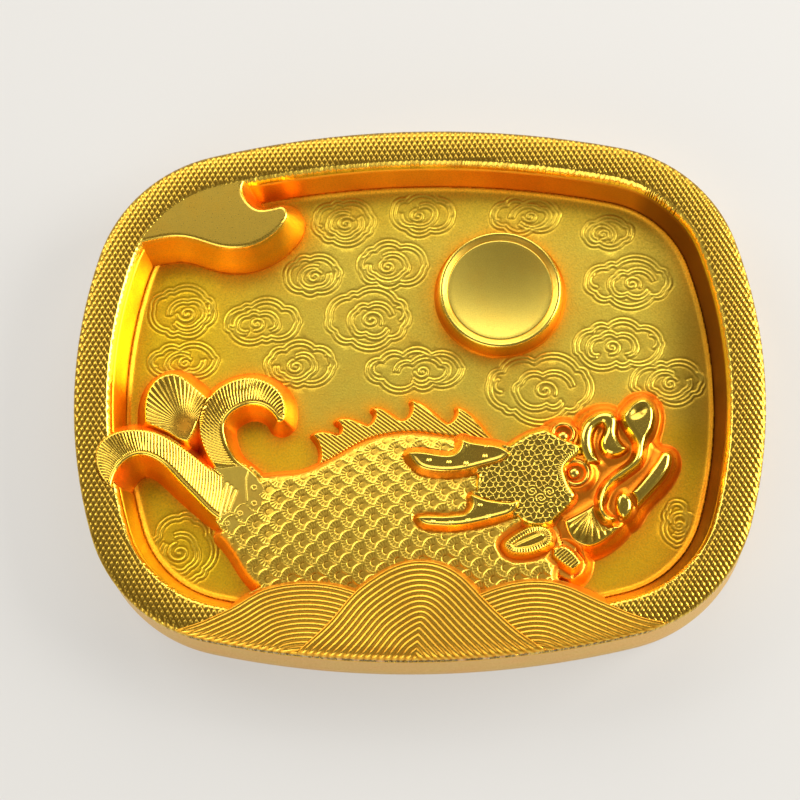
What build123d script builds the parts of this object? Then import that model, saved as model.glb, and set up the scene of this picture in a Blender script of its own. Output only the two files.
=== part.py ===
from build123d import *
from math import cos, hypot, radians, sin, sqrt, tan
import os

# Tray: a cushion-shaped plan of four shallow side arcs and four corner arcs
rim_length = 130.0
rim_depth = 103.4
long_side_radius = 182.0
short_side_radius = 95.0
corner_radius = 28.7
edge_height = 14.5
side_flare = 0.5
pool_depth = 7.2
wall_lean = 2.7
underside_recess = 1.0
foot_width = 7.0

# Knurled rim band, set on the land of the wall by a tongue
rim_width = 6.3
rim_crown = 0.85
rim_thickness = 1.8
rim_edge_radius = 1.3
tongue_width = 2.0
tongue_depth = 1.0
tongue_clearance = 0.1

# Floor plate inside the wall's foot, drilled for the studs of what stands on it
floor_thickness = 2.4
plate_clearance = 0.05
stud_radius = 0.9
stud_length = 1.5
stud_clearance = 0.1

# Moon dish
dish_radius = 11.66
dish_height = 4.0
dish_lean = 0.7
dish_lip = 0.35
dish_bevel_width = 1.3
dish_bevel_depth = 0.45
dish_hollow = 1.0

# Relief: walls lean outwards towards the floor, top edges are rounded over
relief_draft = 23.0
fin_draft = 12.0
relief_edge_radius = 0.5
fine_edge_radius = 0.3
seat_height = 2.0
shelf_rise = 0.35
wave_rise = 0.95
wave_crest_rise = 1.35
wave_edge_radius = 0.25
body_height = 5.0
body_crown_radius = 105.0
tail_root_height = 4.0
lower_curl_height = 8.8
upper_curl_height = 5.5
tail_fan_height = 5.4
dorsal_fin_height = 2.3
head_height = 3.3
horn_height = 6.1
crest_height = 5.8
crest_crown_radius = 26.0
nose_height = 5.9
lip_height = 6.2
jaw_height = 5.2
jaw_edge_radius = 0.55
mouth_ball_height = 5.4
mouth_ball_edge_radius = 0.48
cheek_height = 4.6
ear_height = 5.0
side_fin_height = 4.6
eye_ring_height = 4.7
large_eye_ring_radius = 2.45
large_eye_ball_radius = 1.2
small_eye_ring_radius = 2.1
small_eye_ball_radius = 1.25
eye_bowl_depth = 1.1
eye_ring_ridge = 0.3
upper_curl_slope = 0.088

floor_level = edge_height - pool_depth
plate_seat_level = floor_level - floor_thickness
land_level = edge_height - rim_thickness
pool_half_length = rim_length / 2 - rim_width
pool_half_depth = rim_depth / 2 - rim_width

# Shapes of rounded edges, as shares inwards and upwards, and how outlines are offset
outer_crown_shares = ((0.3, 0.6), (1, 0.9))
inner_crown_shares = ((0, 0.5), (0.25, 0.9), (0.5, 1))
dish_bowl_shares = (0.75, 0.5, 0.25, 0)
rounding_angles = (0, 50)
mitre_limit = -0.5
crowded_share = 0.25
rounding_limit_share = 0.65

# Places and outlines in the pool, as shares of its half length and half depth.
# An outline is a ring of strokes that meet at its corners.
dish_place_share = (0.272, 0.443)
large_eye_place_share = (0.493, -0.363)
small_eye_place_share = (0.462, -0.208)
body_ridge_share = -0.56
crest_middle_share = (0.36, -0.39)

shelf_share = (
    ((-0.902, 0.658), (-0.830, 0.676), (-0.772, 0.679), (-0.715, 0.661), (-0.658, 0.635), (-0.589, 0.622),
     (-0.517, 0.642), (-0.466, 0.683), (-0.429, 0.736), (-0.418, 0.776), (-0.428, 0.806), (-0.449, 0.815)),
    ((-0.449, 0.815), (-0.479, 0.806), (-0.518, 0.804), (-0.553, 0.840), (-0.569, 0.888), (-0.559, 0.931)),
    ((-0.559, 0.931), (-0.576, 0.991), (-0.702, 0.954), (-0.810, 0.866), (-0.898, 0.759), (-0.945, 0.657)),
    ((-0.945, 0.657), (-0.902, 0.658)),
)
wave_centre_share = (
    ((-0.400, -1.300), (0.400, -1.300)),
    ((0.400, -1.300), (0.391, -1.139)),
    ((0.391, -1.139), (0.363, -1.117), (0.292, -1.052), (0.232, -0.980), (0.172, -0.898), (0.112, -0.817),
     (0.051, -0.775), (-0.011, -0.766), (-0.072, -0.784), (-0.134, -0.828), (-0.196, -0.891),
     (-0.258, -0.986), (-0.311, -1.053), (-0.362, -1.111), (-0.385, -1.140)),
    ((-0.385, -1.140), (-0.400, -1.300)),
)
wave_left_share = (
    ((-0.820, -1.300), (-0.100, -1.300)),
    ((-0.100, -1.300), (-0.094, -1.016)),
    ((-0.094, -1.016), (-0.181, -0.892), (-0.233, -0.864), (-0.320, -0.841), (-0.419, -0.844),
     (-0.505, -0.875), (-0.566, -0.922), (-0.628, -0.961), (-0.685, -0.992), (-0.744, -1.014),
     (-0.800, -1.035)),
    ((-0.800, -1.035), (-0.820, -1.300)),
)
wave_right_share = (
    ((0.100, -1.300), (0.820, -1.300)),
    ((0.820, -1.300), (0.800, -1.025)),
    ((0.800, -1.025), (0.743, -1.016), (0.695, -1.003), (0.611, -0.962), (0.527, -0.912), (0.442, -0.862),
     (0.357, -0.845), (0.271, -0.859), (0.185, -0.897), (0.155, -0.916), (0.091, -1.019)),
    ((0.091, -1.019), (0.100, -1.300)),
)
fish_body_share = (
    ((-0.503, -0.383), (-0.458, -0.382), (-0.420, -0.381), (-0.381, -0.376), (-0.301, -0.335),
     (-0.248, -0.300), (-0.195, -0.259), (-0.142, -0.228), (-0.083, -0.212), (-0.009, -0.208),
     (0.071, -0.225), (0.148, -0.239), (0.221, -0.258), (0.269, -0.276)),
    ((0.269, -0.276), (0.226, -0.343), (0.212, -0.402), (0.221, -0.458)),
    ((0.221, -0.458), (0.272, -0.467), (0.312, -0.485), (0.340, -0.536), (0.395, -0.600), (0.429, -0.642),
     (0.428, -0.709), (0.417, -0.775), (0.424, -0.849), (0.436, -0.898)),
    ((0.436, -0.898), (0.248, -0.935), (0.154, -0.901), (-0.002, -0.873), (-0.191, -0.910),
     (-0.317, -0.883), (-0.411, -0.889), (-0.452, -0.847)),
    ((-0.452, -0.847), (-0.491, -0.796), (-0.526, -0.746), (-0.565, -0.664), (-0.606, -0.595)),
    ((-0.606, -0.595), (-0.572, -0.559), (-0.540, -0.533), (-0.491, -0.497)),
    ((-0.491, -0.497), (-0.488, -0.454), (-0.493, -0.411), (-0.503, -0.383)),
)
tail_root_share = (
    ((-0.660, -0.319), (-0.560, -0.303)),
    ((-0.560, -0.303), (-0.532, -0.332), (-0.503, -0.383)),
    ((-0.503, -0.383), (-0.484, -0.411), (-0.464, -0.454), (-0.464, -0.505)),
    ((-0.464, -0.505), (-0.524, -0.571), (-0.571, -0.612), (-0.606, -0.595)),
    ((-0.606, -0.595), (-0.642, -0.530)),
    ((-0.642, -0.530), (-0.627, -0.356)),
    ((-0.627, -0.356), (-0.660, -0.319)),
)
lower_curl_share = (
    ((-0.627, -0.356), (-0.676, -0.312), (-0.737, -0.249), (-0.795, -0.199), (-0.839, -0.171),
     (-0.896, -0.159), (-0.939, -0.164), (-0.982, -0.185), (-1.010, -0.217), (-1.025, -0.263),
     (-1.022, -0.323), (-1.003, -0.374), (-0.974, -0.410)),
    ((-0.974, -0.410), (-0.969, -0.369), (-0.954, -0.327), (-0.928, -0.290), (-0.894, -0.270),
     (-0.850, -0.280), (-0.806, -0.319), (-0.761, -0.382), (-0.717, -0.440), (-0.679, -0.491),
     (-0.642, -0.531)),
    ((-0.642, -0.531), (-0.627, -0.356)),
)
upper_curl_share = (
    ((-0.651, -0.318), (-0.681, -0.256), (-0.700, -0.197), (-0.707, -0.138), (-0.700, -0.079),
     (-0.678, -0.020), (-0.642, 0.027), (-0.587, 0.060), (-0.542, 0.067), (-0.491, 0.049), (-0.450, 0.009),
     (-0.432, -0.038), (-0.429, -0.080), (-0.432, -0.115)),
    ((-0.432, -0.115), (-0.445, -0.126), (-0.455, -0.123)),
    ((-0.455, -0.123), (-0.473, -0.084), (-0.505, -0.057), (-0.541, -0.050), (-0.578, -0.064),
     (-0.609, -0.093), (-0.625, -0.134), (-0.622, -0.181), (-0.609, -0.229), (-0.586, -0.276),
     (-0.560, -0.303)),
    ((-0.560, -0.303), (-0.651, -0.318)),
)
tail_fan_share = (
    ((-0.880, -0.119), (-0.883, -0.058), (-0.879, -0.011), (-0.862, 0.045), (-0.825, 0.084),
     (-0.780, 0.088), (-0.740, 0.053), (-0.704, 0.011), (-0.682, -0.016)),
    ((-0.682, -0.016), (-0.698, -0.063), (-0.710, -0.115), (-0.723, -0.162), (-0.740, -0.204)),
    ((-0.740, -0.204), (-0.762, -0.199), (-0.811, -0.162), (-0.844, -0.143), (-0.880, -0.119)),
)
dorsal_fin_share = (
    ((-0.336, -0.325), (-0.318, -0.283), (-0.315, -0.240), (-0.326, -0.196), (-0.342, -0.168)),
    ((-0.342, -0.168), (-0.323, -0.158), (-0.294, -0.161), (-0.263, -0.172)),
    ((-0.263, -0.172), (-0.247, -0.149), (-0.253, -0.123), (-0.266, -0.109)),
    ((-0.266, -0.109), (-0.245, -0.101), (-0.210, -0.111), (-0.166, -0.135)),
    ((-0.166, -0.135), (-0.143, -0.112), (-0.138, -0.082), (-0.148, -0.060)),
    ((-0.148, -0.060), (-0.125, -0.061), (-0.096, -0.083), (-0.057, -0.116)),
    ((-0.057, -0.116), (-0.032, -0.102), (-0.018, -0.068), (-0.021, -0.029)),
    ((-0.021, -0.029), (0.011, -0.047), (0.046, -0.085), (0.091, -0.134)),
    ((0.091, -0.134), (0.115, -0.117), (0.127, -0.089), (0.126, -0.063)),
    ((0.126, -0.063), (0.159, -0.088), (0.197, -0.143), (0.254, -0.230)),
    ((0.254, -0.230), (0.195, -0.257), (0.070, -0.245), (-0.010, -0.230), (-0.084, -0.233),
     (-0.158, -0.252), (-0.239, -0.306), (-0.303, -0.347), (-0.336, -0.325)),
)
horn_upper_share = (
    ((0.284, -0.284), (0.256, -0.261), (0.214, -0.250), (0.177, -0.243), (0.142, -0.228)),
    ((0.142, -0.228), (0.138, -0.257), (0.122, -0.283), (0.096, -0.293), (0.060, -0.289), (0.013, -0.278),
     (-0.027, -0.277)),
    ((-0.027, -0.277), (-0.014, -0.305), (0.007, -0.333), (0.044, -0.348), (0.086, -0.353),
     (0.127, -0.350), (0.175, -0.338), (0.228, -0.321), (0.266, -0.305), (0.284, -0.284)),
)
horn_lower_share = (
    ((0.309, -0.491), (0.277, -0.497), (0.252, -0.493), (0.215, -0.485), (0.187, -0.472), (0.169, -0.461)),
    ((0.169, -0.461), (0.173, -0.492), (0.165, -0.521), (0.144, -0.542), (0.119, -0.547), (0.068, -0.550),
     (0.024, -0.547), (0.000, -0.549)),
    ((0.000, -0.549), (0.014, -0.570), (0.041, -0.578), (0.093, -0.582), (0.146, -0.577), (0.198, -0.564),
     (0.251, -0.548), (0.292, -0.528), (0.309, -0.491)),
)
head_base_share = (
    ((0.269, -0.264), (0.308, -0.244), (0.356, -0.219), (0.404, -0.201)),
    ((0.404, -0.201), (0.428, -0.157), (0.464, -0.138), (0.498, -0.156), (0.511, -0.176)),
    ((0.511, -0.176), (0.521, -0.133), (0.551, -0.102), (0.590, -0.085), (0.622, -0.090), (0.644, -0.108)),
    ((0.644, -0.108), (0.667, -0.085), (0.694, -0.049), (0.729, -0.037), (0.754, -0.059), (0.764, -0.105),
     (0.757, -0.156), (0.746, -0.212), (0.757, -0.250)),
    ((0.757, -0.250), (0.779, -0.266), (0.798, -0.271), (0.810, -0.303), (0.802, -0.345), (0.768, -0.408),
     (0.728, -0.459), (0.698, -0.507), (0.678, -0.549), (0.652, -0.569)),
    ((0.652, -0.569), (0.632, -0.602), (0.593, -0.645), (0.555, -0.671), (0.517, -0.680)),
    ((0.517, -0.680), (0.518, -0.728), (0.507, -0.770), (0.479, -0.795), (0.446, -0.782), (0.412, -0.738)),
    ((0.412, -0.738), (0.413, -0.659), (0.380, -0.613), (0.330, -0.553), (0.300, -0.502), (0.205, -0.470),
     (0.193, -0.398), (0.207, -0.339), (0.269, -0.264)),
)
forehead_crest_share = (
    ((0.215, -0.446), (0.217, -0.394), (0.232, -0.348), (0.264, -0.314), (0.304, -0.284), (0.337, -0.256),
     (0.376, -0.231), (0.403, -0.224)),
    ((0.403, -0.224), (0.439, -0.253), (0.472, -0.272)),
    ((0.472, -0.272), (0.449, -0.296), (0.434, -0.323), (0.429, -0.356), (0.434, -0.390), (0.446, -0.433),
     (0.458, -0.460)),
    ((0.458, -0.460), (0.445, -0.483), (0.421, -0.509), (0.403, -0.534)),
    ((0.403, -0.534), (0.370, -0.543), (0.343, -0.531), (0.327, -0.504), (0.317, -0.474)),
    ((0.317, -0.474), (0.277, -0.461), (0.241, -0.463), (0.215, -0.446)),
)
nose_curl_share = (
    ((0.537, -0.327), (0.520, -0.276), (0.515, -0.225), (0.528, -0.168), (0.559, -0.128), (0.598, -0.112),
     (0.623, -0.123), (0.633, -0.152), (0.629, -0.194), (0.637, -0.233), (0.660, -0.269)),
    ((0.660, -0.269), (0.637, -0.290), (0.610, -0.293), (0.590, -0.276), (0.583, -0.246)),
    ((0.583, -0.246), (0.592, -0.210), (0.599, -0.181), (0.589, -0.157), (0.569, -0.167), (0.554, -0.201),
     (0.550, -0.241), (0.557, -0.286), (0.570, -0.320)),
    ((0.570, -0.320), (0.537, -0.327)),
)
snout_lip_share = (
    ((0.728, -0.064), (0.746, -0.090), (0.752, -0.124), (0.748, -0.160), (0.738, -0.199), (0.724, -0.230),
     (0.717, -0.262), (0.711, -0.304), (0.700, -0.331), (0.681, -0.353), (0.659, -0.373), (0.638, -0.393),
     (0.614, -0.415), (0.596, -0.444), (0.586, -0.473), (0.579, -0.504), (0.583, -0.531), (0.595, -0.550),
     (0.615, -0.563)),
    ((0.615, -0.563), (0.605, -0.576)),
    ((0.605, -0.576), (0.580, -0.563), (0.567, -0.533), (0.565, -0.496), (0.571, -0.462), (0.584, -0.427),
     (0.607, -0.394), (0.640, -0.361), (0.665, -0.339), (0.684, -0.312), (0.694, -0.278), (0.695, -0.244)),
    ((0.695, -0.244), (0.682, -0.210), (0.664, -0.171), (0.656, -0.130)),
    ((0.656, -0.130), (0.669, -0.105), (0.689, -0.080), (0.709, -0.065), (0.728, -0.064)),
)
jaw_bar_share = (
    ((0.677, -0.451), (0.700, -0.418), (0.725, -0.381), (0.749, -0.341), (0.777, -0.288)),
    ((0.777, -0.288), (0.795, -0.291), (0.798, -0.319)),
    ((0.798, -0.319), (0.786, -0.366), (0.756, -0.417), (0.723, -0.461), (0.691, -0.503)),
    ((0.691, -0.503), (0.688, -0.475), (0.677, -0.451)),
)
mouth_ball_share = (
    ((0.644, -0.456), (0.664, -0.471), (0.672, -0.507), (0.663, -0.540), (0.644, -0.558)),
    ((0.644, -0.558), (0.629, -0.537), (0.624, -0.505), (0.629, -0.470), (0.644, -0.456)),
)
cheek_fan_share = (
    ((0.462, -0.565), (0.496, -0.544), (0.528, -0.522), (0.552, -0.502)),
    ((0.552, -0.502), (0.556, -0.535), (0.569, -0.567), (0.591, -0.584), (0.619, -0.591), (0.634, -0.591)),
    ((0.634, -0.591), (0.602, -0.626), (0.567, -0.656), (0.535, -0.670), (0.504, -0.661)),
    ((0.504, -0.661), (0.482, -0.638), (0.468, -0.602), (0.462, -0.565)),
)
ear_leaf_share = (
    ((0.264, -0.664), (0.270, -0.648), (0.289, -0.627), (0.316, -0.605), (0.345, -0.588), (0.374, -0.583),
     (0.398, -0.591), (0.415, -0.613), (0.419, -0.636)),
    ((0.419, -0.636), (0.415, -0.655), (0.401, -0.674), (0.377, -0.689), (0.348, -0.701), (0.319, -0.704),
     (0.292, -0.700), (0.275, -0.687), (0.264, -0.664)),
)
side_fin_share = (
    ((0.420, -0.682), (0.434, -0.672), (0.452, -0.669), (0.473, -0.683), (0.492, -0.709), (0.505, -0.734)),
    ((0.505, -0.734), (0.493, -0.760), (0.474, -0.770)),
    ((0.474, -0.770), (0.455, -0.753), (0.433, -0.730), (0.418, -0.709)),
    ((0.418, -0.709), (0.420, -0.682)),
)

# Studs under the pieces that stand on the floor plate
stud_shares = {
    "moon_dish": (dish_place_share,),
    "cloud_shelf": ((-0.72, 0.74), (-0.50, 0.72)),
    "wave_left": ((-0.38, -0.85),),
    "wave_centre": ((-0.08, -0.85), (0.06, -0.85)),
    "wave_right": ((0.35, -0.85),),
    "fish_body": ((-0.30, -0.55), (0.10, -0.70)),
    "head_base": ((0.49, -0.45), (0.60, -0.35)),
    "dorsal_fin": ((-0.20, -0.19), (0.03, -0.15)),
    "tail_root": ((-0.58, -0.46),),
    "tail_curl_lower": ((-0.69, -0.38), (-0.78, -0.27)),
    "tail_curl_upper": ((-0.66, -0.15), (-0.52, 0.01)),
    "tail_fan": ((-0.80, -0.04),),
}


def cushion(grow, level):
    # The tray's plan, moved outwards by grow, as a wire at that level
    half_length = rim_length / 2
    half_depth = rim_depth / 2
    long_centre = (0, half_depth - long_side_radius)
    short_centre = (half_length - short_side_radius, 0)
    reach_long = long_side_radius - corner_radius
    reach_short = short_side_radius - corner_radius
    apart = hypot(short_centre[0] - long_centre[0], short_centre[1] - long_centre[1])
    along = (reach_long**2 - reach_short**2 + apart**2) / (2 * apart)
    across = sqrt(reach_long**2 - along**2)
    unit = ((short_centre[0] - long_centre[0]) / apart, (short_centre[1] - long_centre[1]) / apart)
    corner = (
        long_centre[0] + along * unit[0] + across * unit[1],
        long_centre[1] + along * unit[1] - across * unit[0],
    )

    def on_arc(centre, radius):
        reach = hypot(corner[0] - centre[0], corner[1] - centre[1])
        share = (radius + grow) / reach
        return (centre[0] + (corner[0] - centre[0]) * share, centre[1] + (corner[1] - centre[1]) * share)

    long_end = on_arc(long_centre, long_side_radius)
    short_end = on_arc(short_centre, short_side_radius)
    middle = ((long_end[0] + short_end[0]) / 2 - corner[0], (long_end[1] + short_end[1]) / 2 - corner[1])
    stretch = (corner_radius + grow) / hypot(*middle)
    corner_middle = (corner[0] + middle[0] * stretch, corner[1] + middle[1] * stretch)

    def arc(start, through, end):
        return ThreePointArc(*((x, y, level) for x, y in (start, through, end)))

    def at(point, side, end):
        return (point[0] * side, point[1] * end)

    back = (0, half_depth + grow)
    right = (half_length + grow, 0)
    edges = [
        arc(at(long_end, -1, 1), back, long_end),
        arc(long_end, corner_middle, short_end),
        arc(short_end, right, at(short_end, 1, -1)),
        arc(at(short_end, 1, -1), at(corner_middle, 1, -1), at(long_end, 1, -1)),
        arc(at(long_end, 1, -1), at(back, 1, -1), at(long_end, -1, -1)),
        arc(at(long_end, -1, -1), at(corner_middle, -1, -1), at(short_end, -1, -1)),
        arc(at(short_end, -1, -1), at(right, -1, 1), at(short_end, -1, 1)),
        arc(at(short_end, -1, 1), at(corner_middle, -1, 1), at(long_end, -1, 1)),
    ]
    return Wire(edges)


def stacked(wires):
    # A closed solid with straight walls from each wire to the next
    return loft([Face(wire) for wire in wires], ruled=True)


def cushion_block(*steps):
    # Steps are (grow, level) pairs from the lowest to the highest
    return stacked([cushion(grow, level) for grow, level in steps])


def flare_at(level):
    return side_flare * (edge_height - level) / edge_height


def pool_inset_at(level):
    return rim_width + wall_lean * (edge_height - level) / pool_depth


def crowned_steps(crown):
    # From the land over the rounded outer edge, up to the level of a crown above that edge
    return [
        (flare_at(land_level), land_level),
        (0, edge_height),
        *((-inwards * rim_edge_radius, edge_height + up * crown) for inwards, up in outer_crown_shares),
        (-rim_width / 2, edge_height + crown),
    ]


def at_share(share, level):
    return Pos(share[0] * pool_half_length, share[1] * pool_half_depth, level)


def in_pool(shares):
    return [[(x * pool_half_length, y * pool_half_depth) for x, y in stroke] for stroke in shares]


def unit_normals(stroke):
    # Normals to the right of the way that the stroke runs
    normals = []
    for index in range(len(stroke)):
        before = stroke[max(index - 1, 0)]
        after = stroke[min(index + 1, len(stroke) - 1)]
        run = hypot(after[0] - before[0], after[1] - before[1])
        normals.append(((after[1] - before[1]) / run, (before[0] - after[0]) / run))
    return normals


def ring_sides(strokes):
    points = [point for stroke in strokes for point in stroke[:-1]]
    return zip(points, points[1:] + points[:1])


def signed_area(strokes):
    return sum((x * next_y - next_x * y) / 2 for (x, y), (next_x, next_y) in ring_sides(strokes))


def slimness(strokes):
    # Area over perimeter, close to half the width of a slim outline
    perimeter = sum(hypot(next_x - x, next_y - y) for (x, y), (next_x, next_y) in ring_sides(strokes))
    return abs(signed_area(strokes)) / perimeter


def uncrossed(points, stroke):
    # In a sharp hollow corner the moved neighbours crowd or pass the moved corner, and are left out
    for _ in ("start", "end"):
        run_x = stroke[1][0] - stroke[0][0]
        run_y = stroke[1][1] - stroke[0][1]
        least = crowded_share * (run_x**2 + run_y**2)
        while len(points) > 2:
            ahead = (points[1][0] - points[0][0]) * run_x + (points[1][1] - points[0][1]) * run_y
            if ahead > least:
                break
            del points[1]
        points.reverse()
        stroke = stroke[::-1]
    return points


def grown(strokes, amount_at):
    # Moves each point outwards by amount_at(x, y); corners move along their mitre
    sign = 1 if signed_area(strokes) > 0 else -1
    normals = [unit_normals(stroke) for stroke in strokes]
    moved = []
    for number, stroke in enumerate(strokes):
        points = []
        for index, (x, y) in enumerate(stroke):
            normal = normals[number][index]
            if index == 0:
                other = normals[number - 1][-1]
            elif index == len(stroke) - 1:
                other = normals[(number + 1) % len(strokes)][0]
            else:
                other = normal
            agreement = max(normal[0] * other[0] + normal[1] * other[1], mitre_limit)
            push = sign * amount_at(x, y) / (1 + agreement)
            points.append((x + push * (normal[0] + other[0]), y + push * (normal[1] + other[1])))
        moved.append(uncrossed(points, stroke))
    return moved


def stroke_wire(strokes, level_at):
    edges = []
    for stroke in strokes:
        points = [(x, y, level_at(x, y)) for x, y in stroke]
        edges.append(Line(*points) if len(points) == 2 else Spline(*points))
    return Wire(edges)


def relief(shares, height, draft=relief_draft, edge=relief_edge_radius, base=0, tilt=(0, 0), start=(0, 0)):
    # A raised form: walls lean out from the top outline down to base, both above the floor plate,
    # and the top edge is rounded over, no wider than a slim form has room for. The top may tilt
    # about the place start.
    outline = in_pool(shares)
    edge = min(edge, rounding_limit_share * slimness(outline))

    def top_at(x, y):
        return height + tilt[0] * (x - start[0]) + tilt[1] * (y - start[1])

    def lean_at(x, y):
        return (top_at(x, y) - edge - base) * tan(radians(draft))

    foot = grown(outline, lean_at)
    wires = [stroke_wire(foot, lambda x, y: floor_level + base)]
    for angle in rounding_angles:
        inset = edge * (1 - cos(radians(angle)))
        drop = edge * (1 - sin(radians(angle)))
        ring = grown(outline, lambda x, y: -inset)
        wires.append(stroke_wire(ring, lambda x, y: floor_level + top_at(x, y) - drop))
    last = grown(outline, lambda x, y: -edge)
    wires.append(stroke_wire(last, lambda x, y: floor_level + top_at(x, y)))
    return stacked(wires)


def studs(name, grow=0):
    # The studs under a piece; with grow, the holes that take them
    peg = Cylinder(stud_radius + grow, stud_length + grow, align=(Align.CENTER, Align.CENTER, Align.MAX))
    return [at_share(share, floor_level) * peg for share in stud_shares[name]]


def with_studs(name, piece):
    for peg in studs(name):
        piece = piece + peg
    return piece


def revolved(points, place_share):
    profile = make_face(Polyline(*((x, 0, z) for x, z in points), close=True))
    return at_share(place_share, floor_level) * revolve(profile, Axis.Z)


def less(piece, *others):
    for other in others:
        piece = piece - other
    return piece


def make_pool_room():
    # The space of the pool between the floor plate and the land
    foot = (-pool_inset_at(floor_level), floor_level)
    return cushion_block(foot, (-pool_inset_at(land_level), land_level))


def make_rim_opening():
    # The space inside the rim band, from the land up over its inner edge
    steps = [(-pool_inset_at(land_level), land_level)]
    for outwards, up in inner_crown_shares:
        steps.append((-rim_width * (1 - outwards), edge_height + up * rim_crown))
    return cushion_block(*steps)


def make_tongue():
    middle = -rim_width / 2
    half_tongue = tongue_width / 2
    tongue_level = land_level - tongue_depth
    outside = cushion_block((middle + half_tongue, tongue_level), (middle + half_tongue, land_level))
    return outside - cushion_block((middle - half_tongue, tongue_level), (middle - half_tongue, land_level))


def make_tray_casting(pool):
    side = cushion_block((flare_at(0), 0), (flare_at(land_level), land_level))
    foot_inset = pool_inset_at(floor_level)
    plate_seat = cushion_block((-foot_inset, plate_seat_level), (-foot_inset, floor_level))
    recess = cushion_block((-foot_width, 0), (-foot_width - underside_recess, underside_recess))
    middle = -rim_width / 2
    half_groove = tongue_width / 2 + tongue_clearance
    groove_level = land_level - tongue_depth - tongue_clearance
    groove = cushion_block((middle + half_groove, groove_level), (middle + half_groove, land_level))
    core = cushion_block((middle - half_groove, groove_level), (middle - half_groove, land_level))
    return less(side, pool, plate_seat, recess, groove - core)


def make_floor_plate():
    inset = pool_inset_at(floor_level) + plate_clearance
    return cushion_block((-inset, plate_seat_level), (-inset, floor_level))


def make_rim_band(opening, tongue):
    band = cushion_block(*crowned_steps(rim_crown))
    return (band - opening) + tongue


def make_moon_dish():
    inner = dish_radius - dish_bevel_width
    points = [(0, 0), (dish_radius + dish_lean, 0), (dish_radius, dish_height - dish_lip)]
    points.append((dish_radius - dish_lip / 2, dish_height))
    points.append((dish_radius - dish_lip / 2 - dish_lip, dish_height))
    points.append((inner, dish_height - dish_bevel_depth))
    for share in dish_bowl_shares:
        sink = dish_bevel_depth + dish_hollow * (1 - share**2)
        points.append((inner * share, dish_height - sink))
    return revolved(points, dish_place_share)


def make_over_rim_room(rise, pool, tongue):
    # The space of a piece that stands in the pool and reaches out over the land to the outer side
    return cushion_block(*crowned_steps(rise)) + pool + tongue


def make_fish_body():
    slab = relief(fish_body_share, body_height)
    crown = Cylinder(body_crown_radius, rim_length, rotation=(0, 90, 0))
    return slab & (at_share((0, body_ridge_share), floor_level + body_height - body_crown_radius) * crown)


def make_forehead_crest():
    slab = relief(forehead_crest_share, crest_height, base=seat_height, edge=fine_edge_radius)
    level = floor_level + crest_height - crest_crown_radius
    return slab & (at_share(crest_middle_share, level) * Sphere(crest_crown_radius))


def make_eye_ring(place_share, radius, ball_radius):
    lean = (eye_ring_height - seat_height) * tan(radians(relief_draft))
    bowl_level = eye_ring_height - eye_bowl_depth
    points = [
        (0, seat_height),
        (radius + lean, seat_height),
        (radius, eye_ring_height),
        (radius - eye_ring_ridge, eye_ring_height),
        (ball_radius, bowl_level),
        (0, bowl_level),
    ]
    return revolved(points, place_share)


def make_eye_ball(place_share, ball_radius):
    bowl_level = floor_level + eye_ring_height - eye_bowl_depth
    dome = Sphere(ball_radius, arc_size1=0, align=(Align.CENTER, Align.CENTER, Align.MIN))
    return at_share(place_share, bowl_level) * dome


def write(name, piece):
    piece.label = name
    export_step(piece, f"parts/{name}.step")
    print(name, len(piece.solids()))


os.makedirs("parts", exist_ok=True)

pieces = {}
pool = make_pool_room()
opening = make_rim_opening()
tongue = make_tongue()
pieces["tray_casting"] = make_tray_casting(pool)
pieces["moon_dish"] = with_studs("moon_dish", make_moon_dish())

# Waves stand on the land and the floor plate, and take the place of the rim band along the front
side_room = make_over_rim_room(wave_rise, pool, tongue)
crest_room = make_over_rim_room(wave_crest_rise, pool, tongue)
centre = relief(wave_centre_share, pool_depth + wave_crest_rise, edge=wave_edge_radius)
left = relief(wave_left_share, pool_depth + wave_rise, edge=wave_edge_radius)
right = relief(wave_right_share, pool_depth + wave_rise, edge=wave_edge_radius)
waves = (centre, left, right)
pieces["wave_centre"] = with_studs("wave_centre", centre & crest_room)
pieces["wave_left"] = with_studs("wave_left", less(left, centre) & side_room)
pieces["wave_right"] = with_studs("wave_right", less(right, centre) & side_room)

# The lower tail curl climbs from the root to the top of the rim band, where it lies in a notch
start_share = lower_curl_share[0][0][0]
end_share = min(x for stroke in lower_curl_share for x, y in stroke)
lower_slope = (lower_curl_height - tail_root_height) / ((end_share - start_share) * pool_half_length)
lower_start = (start_share * pool_half_length, 0)
curl = relief(lower_curl_share, tail_root_height, tilt=(lower_slope, 0), start=lower_start)
curl_rise = lower_curl_height + floor_level - edge_height
lower_curl = curl & make_over_rim_room(curl_rise, pool, tongue)

pieces["rim_band"] = less(make_rim_band(opening, tongue), *waves, curl)
shelf = relief(shelf_share, pool_depth + shelf_rise) & (pool + opening)
pieces["cloud_shelf"] = with_studs("cloud_shelf", shelf)

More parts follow.
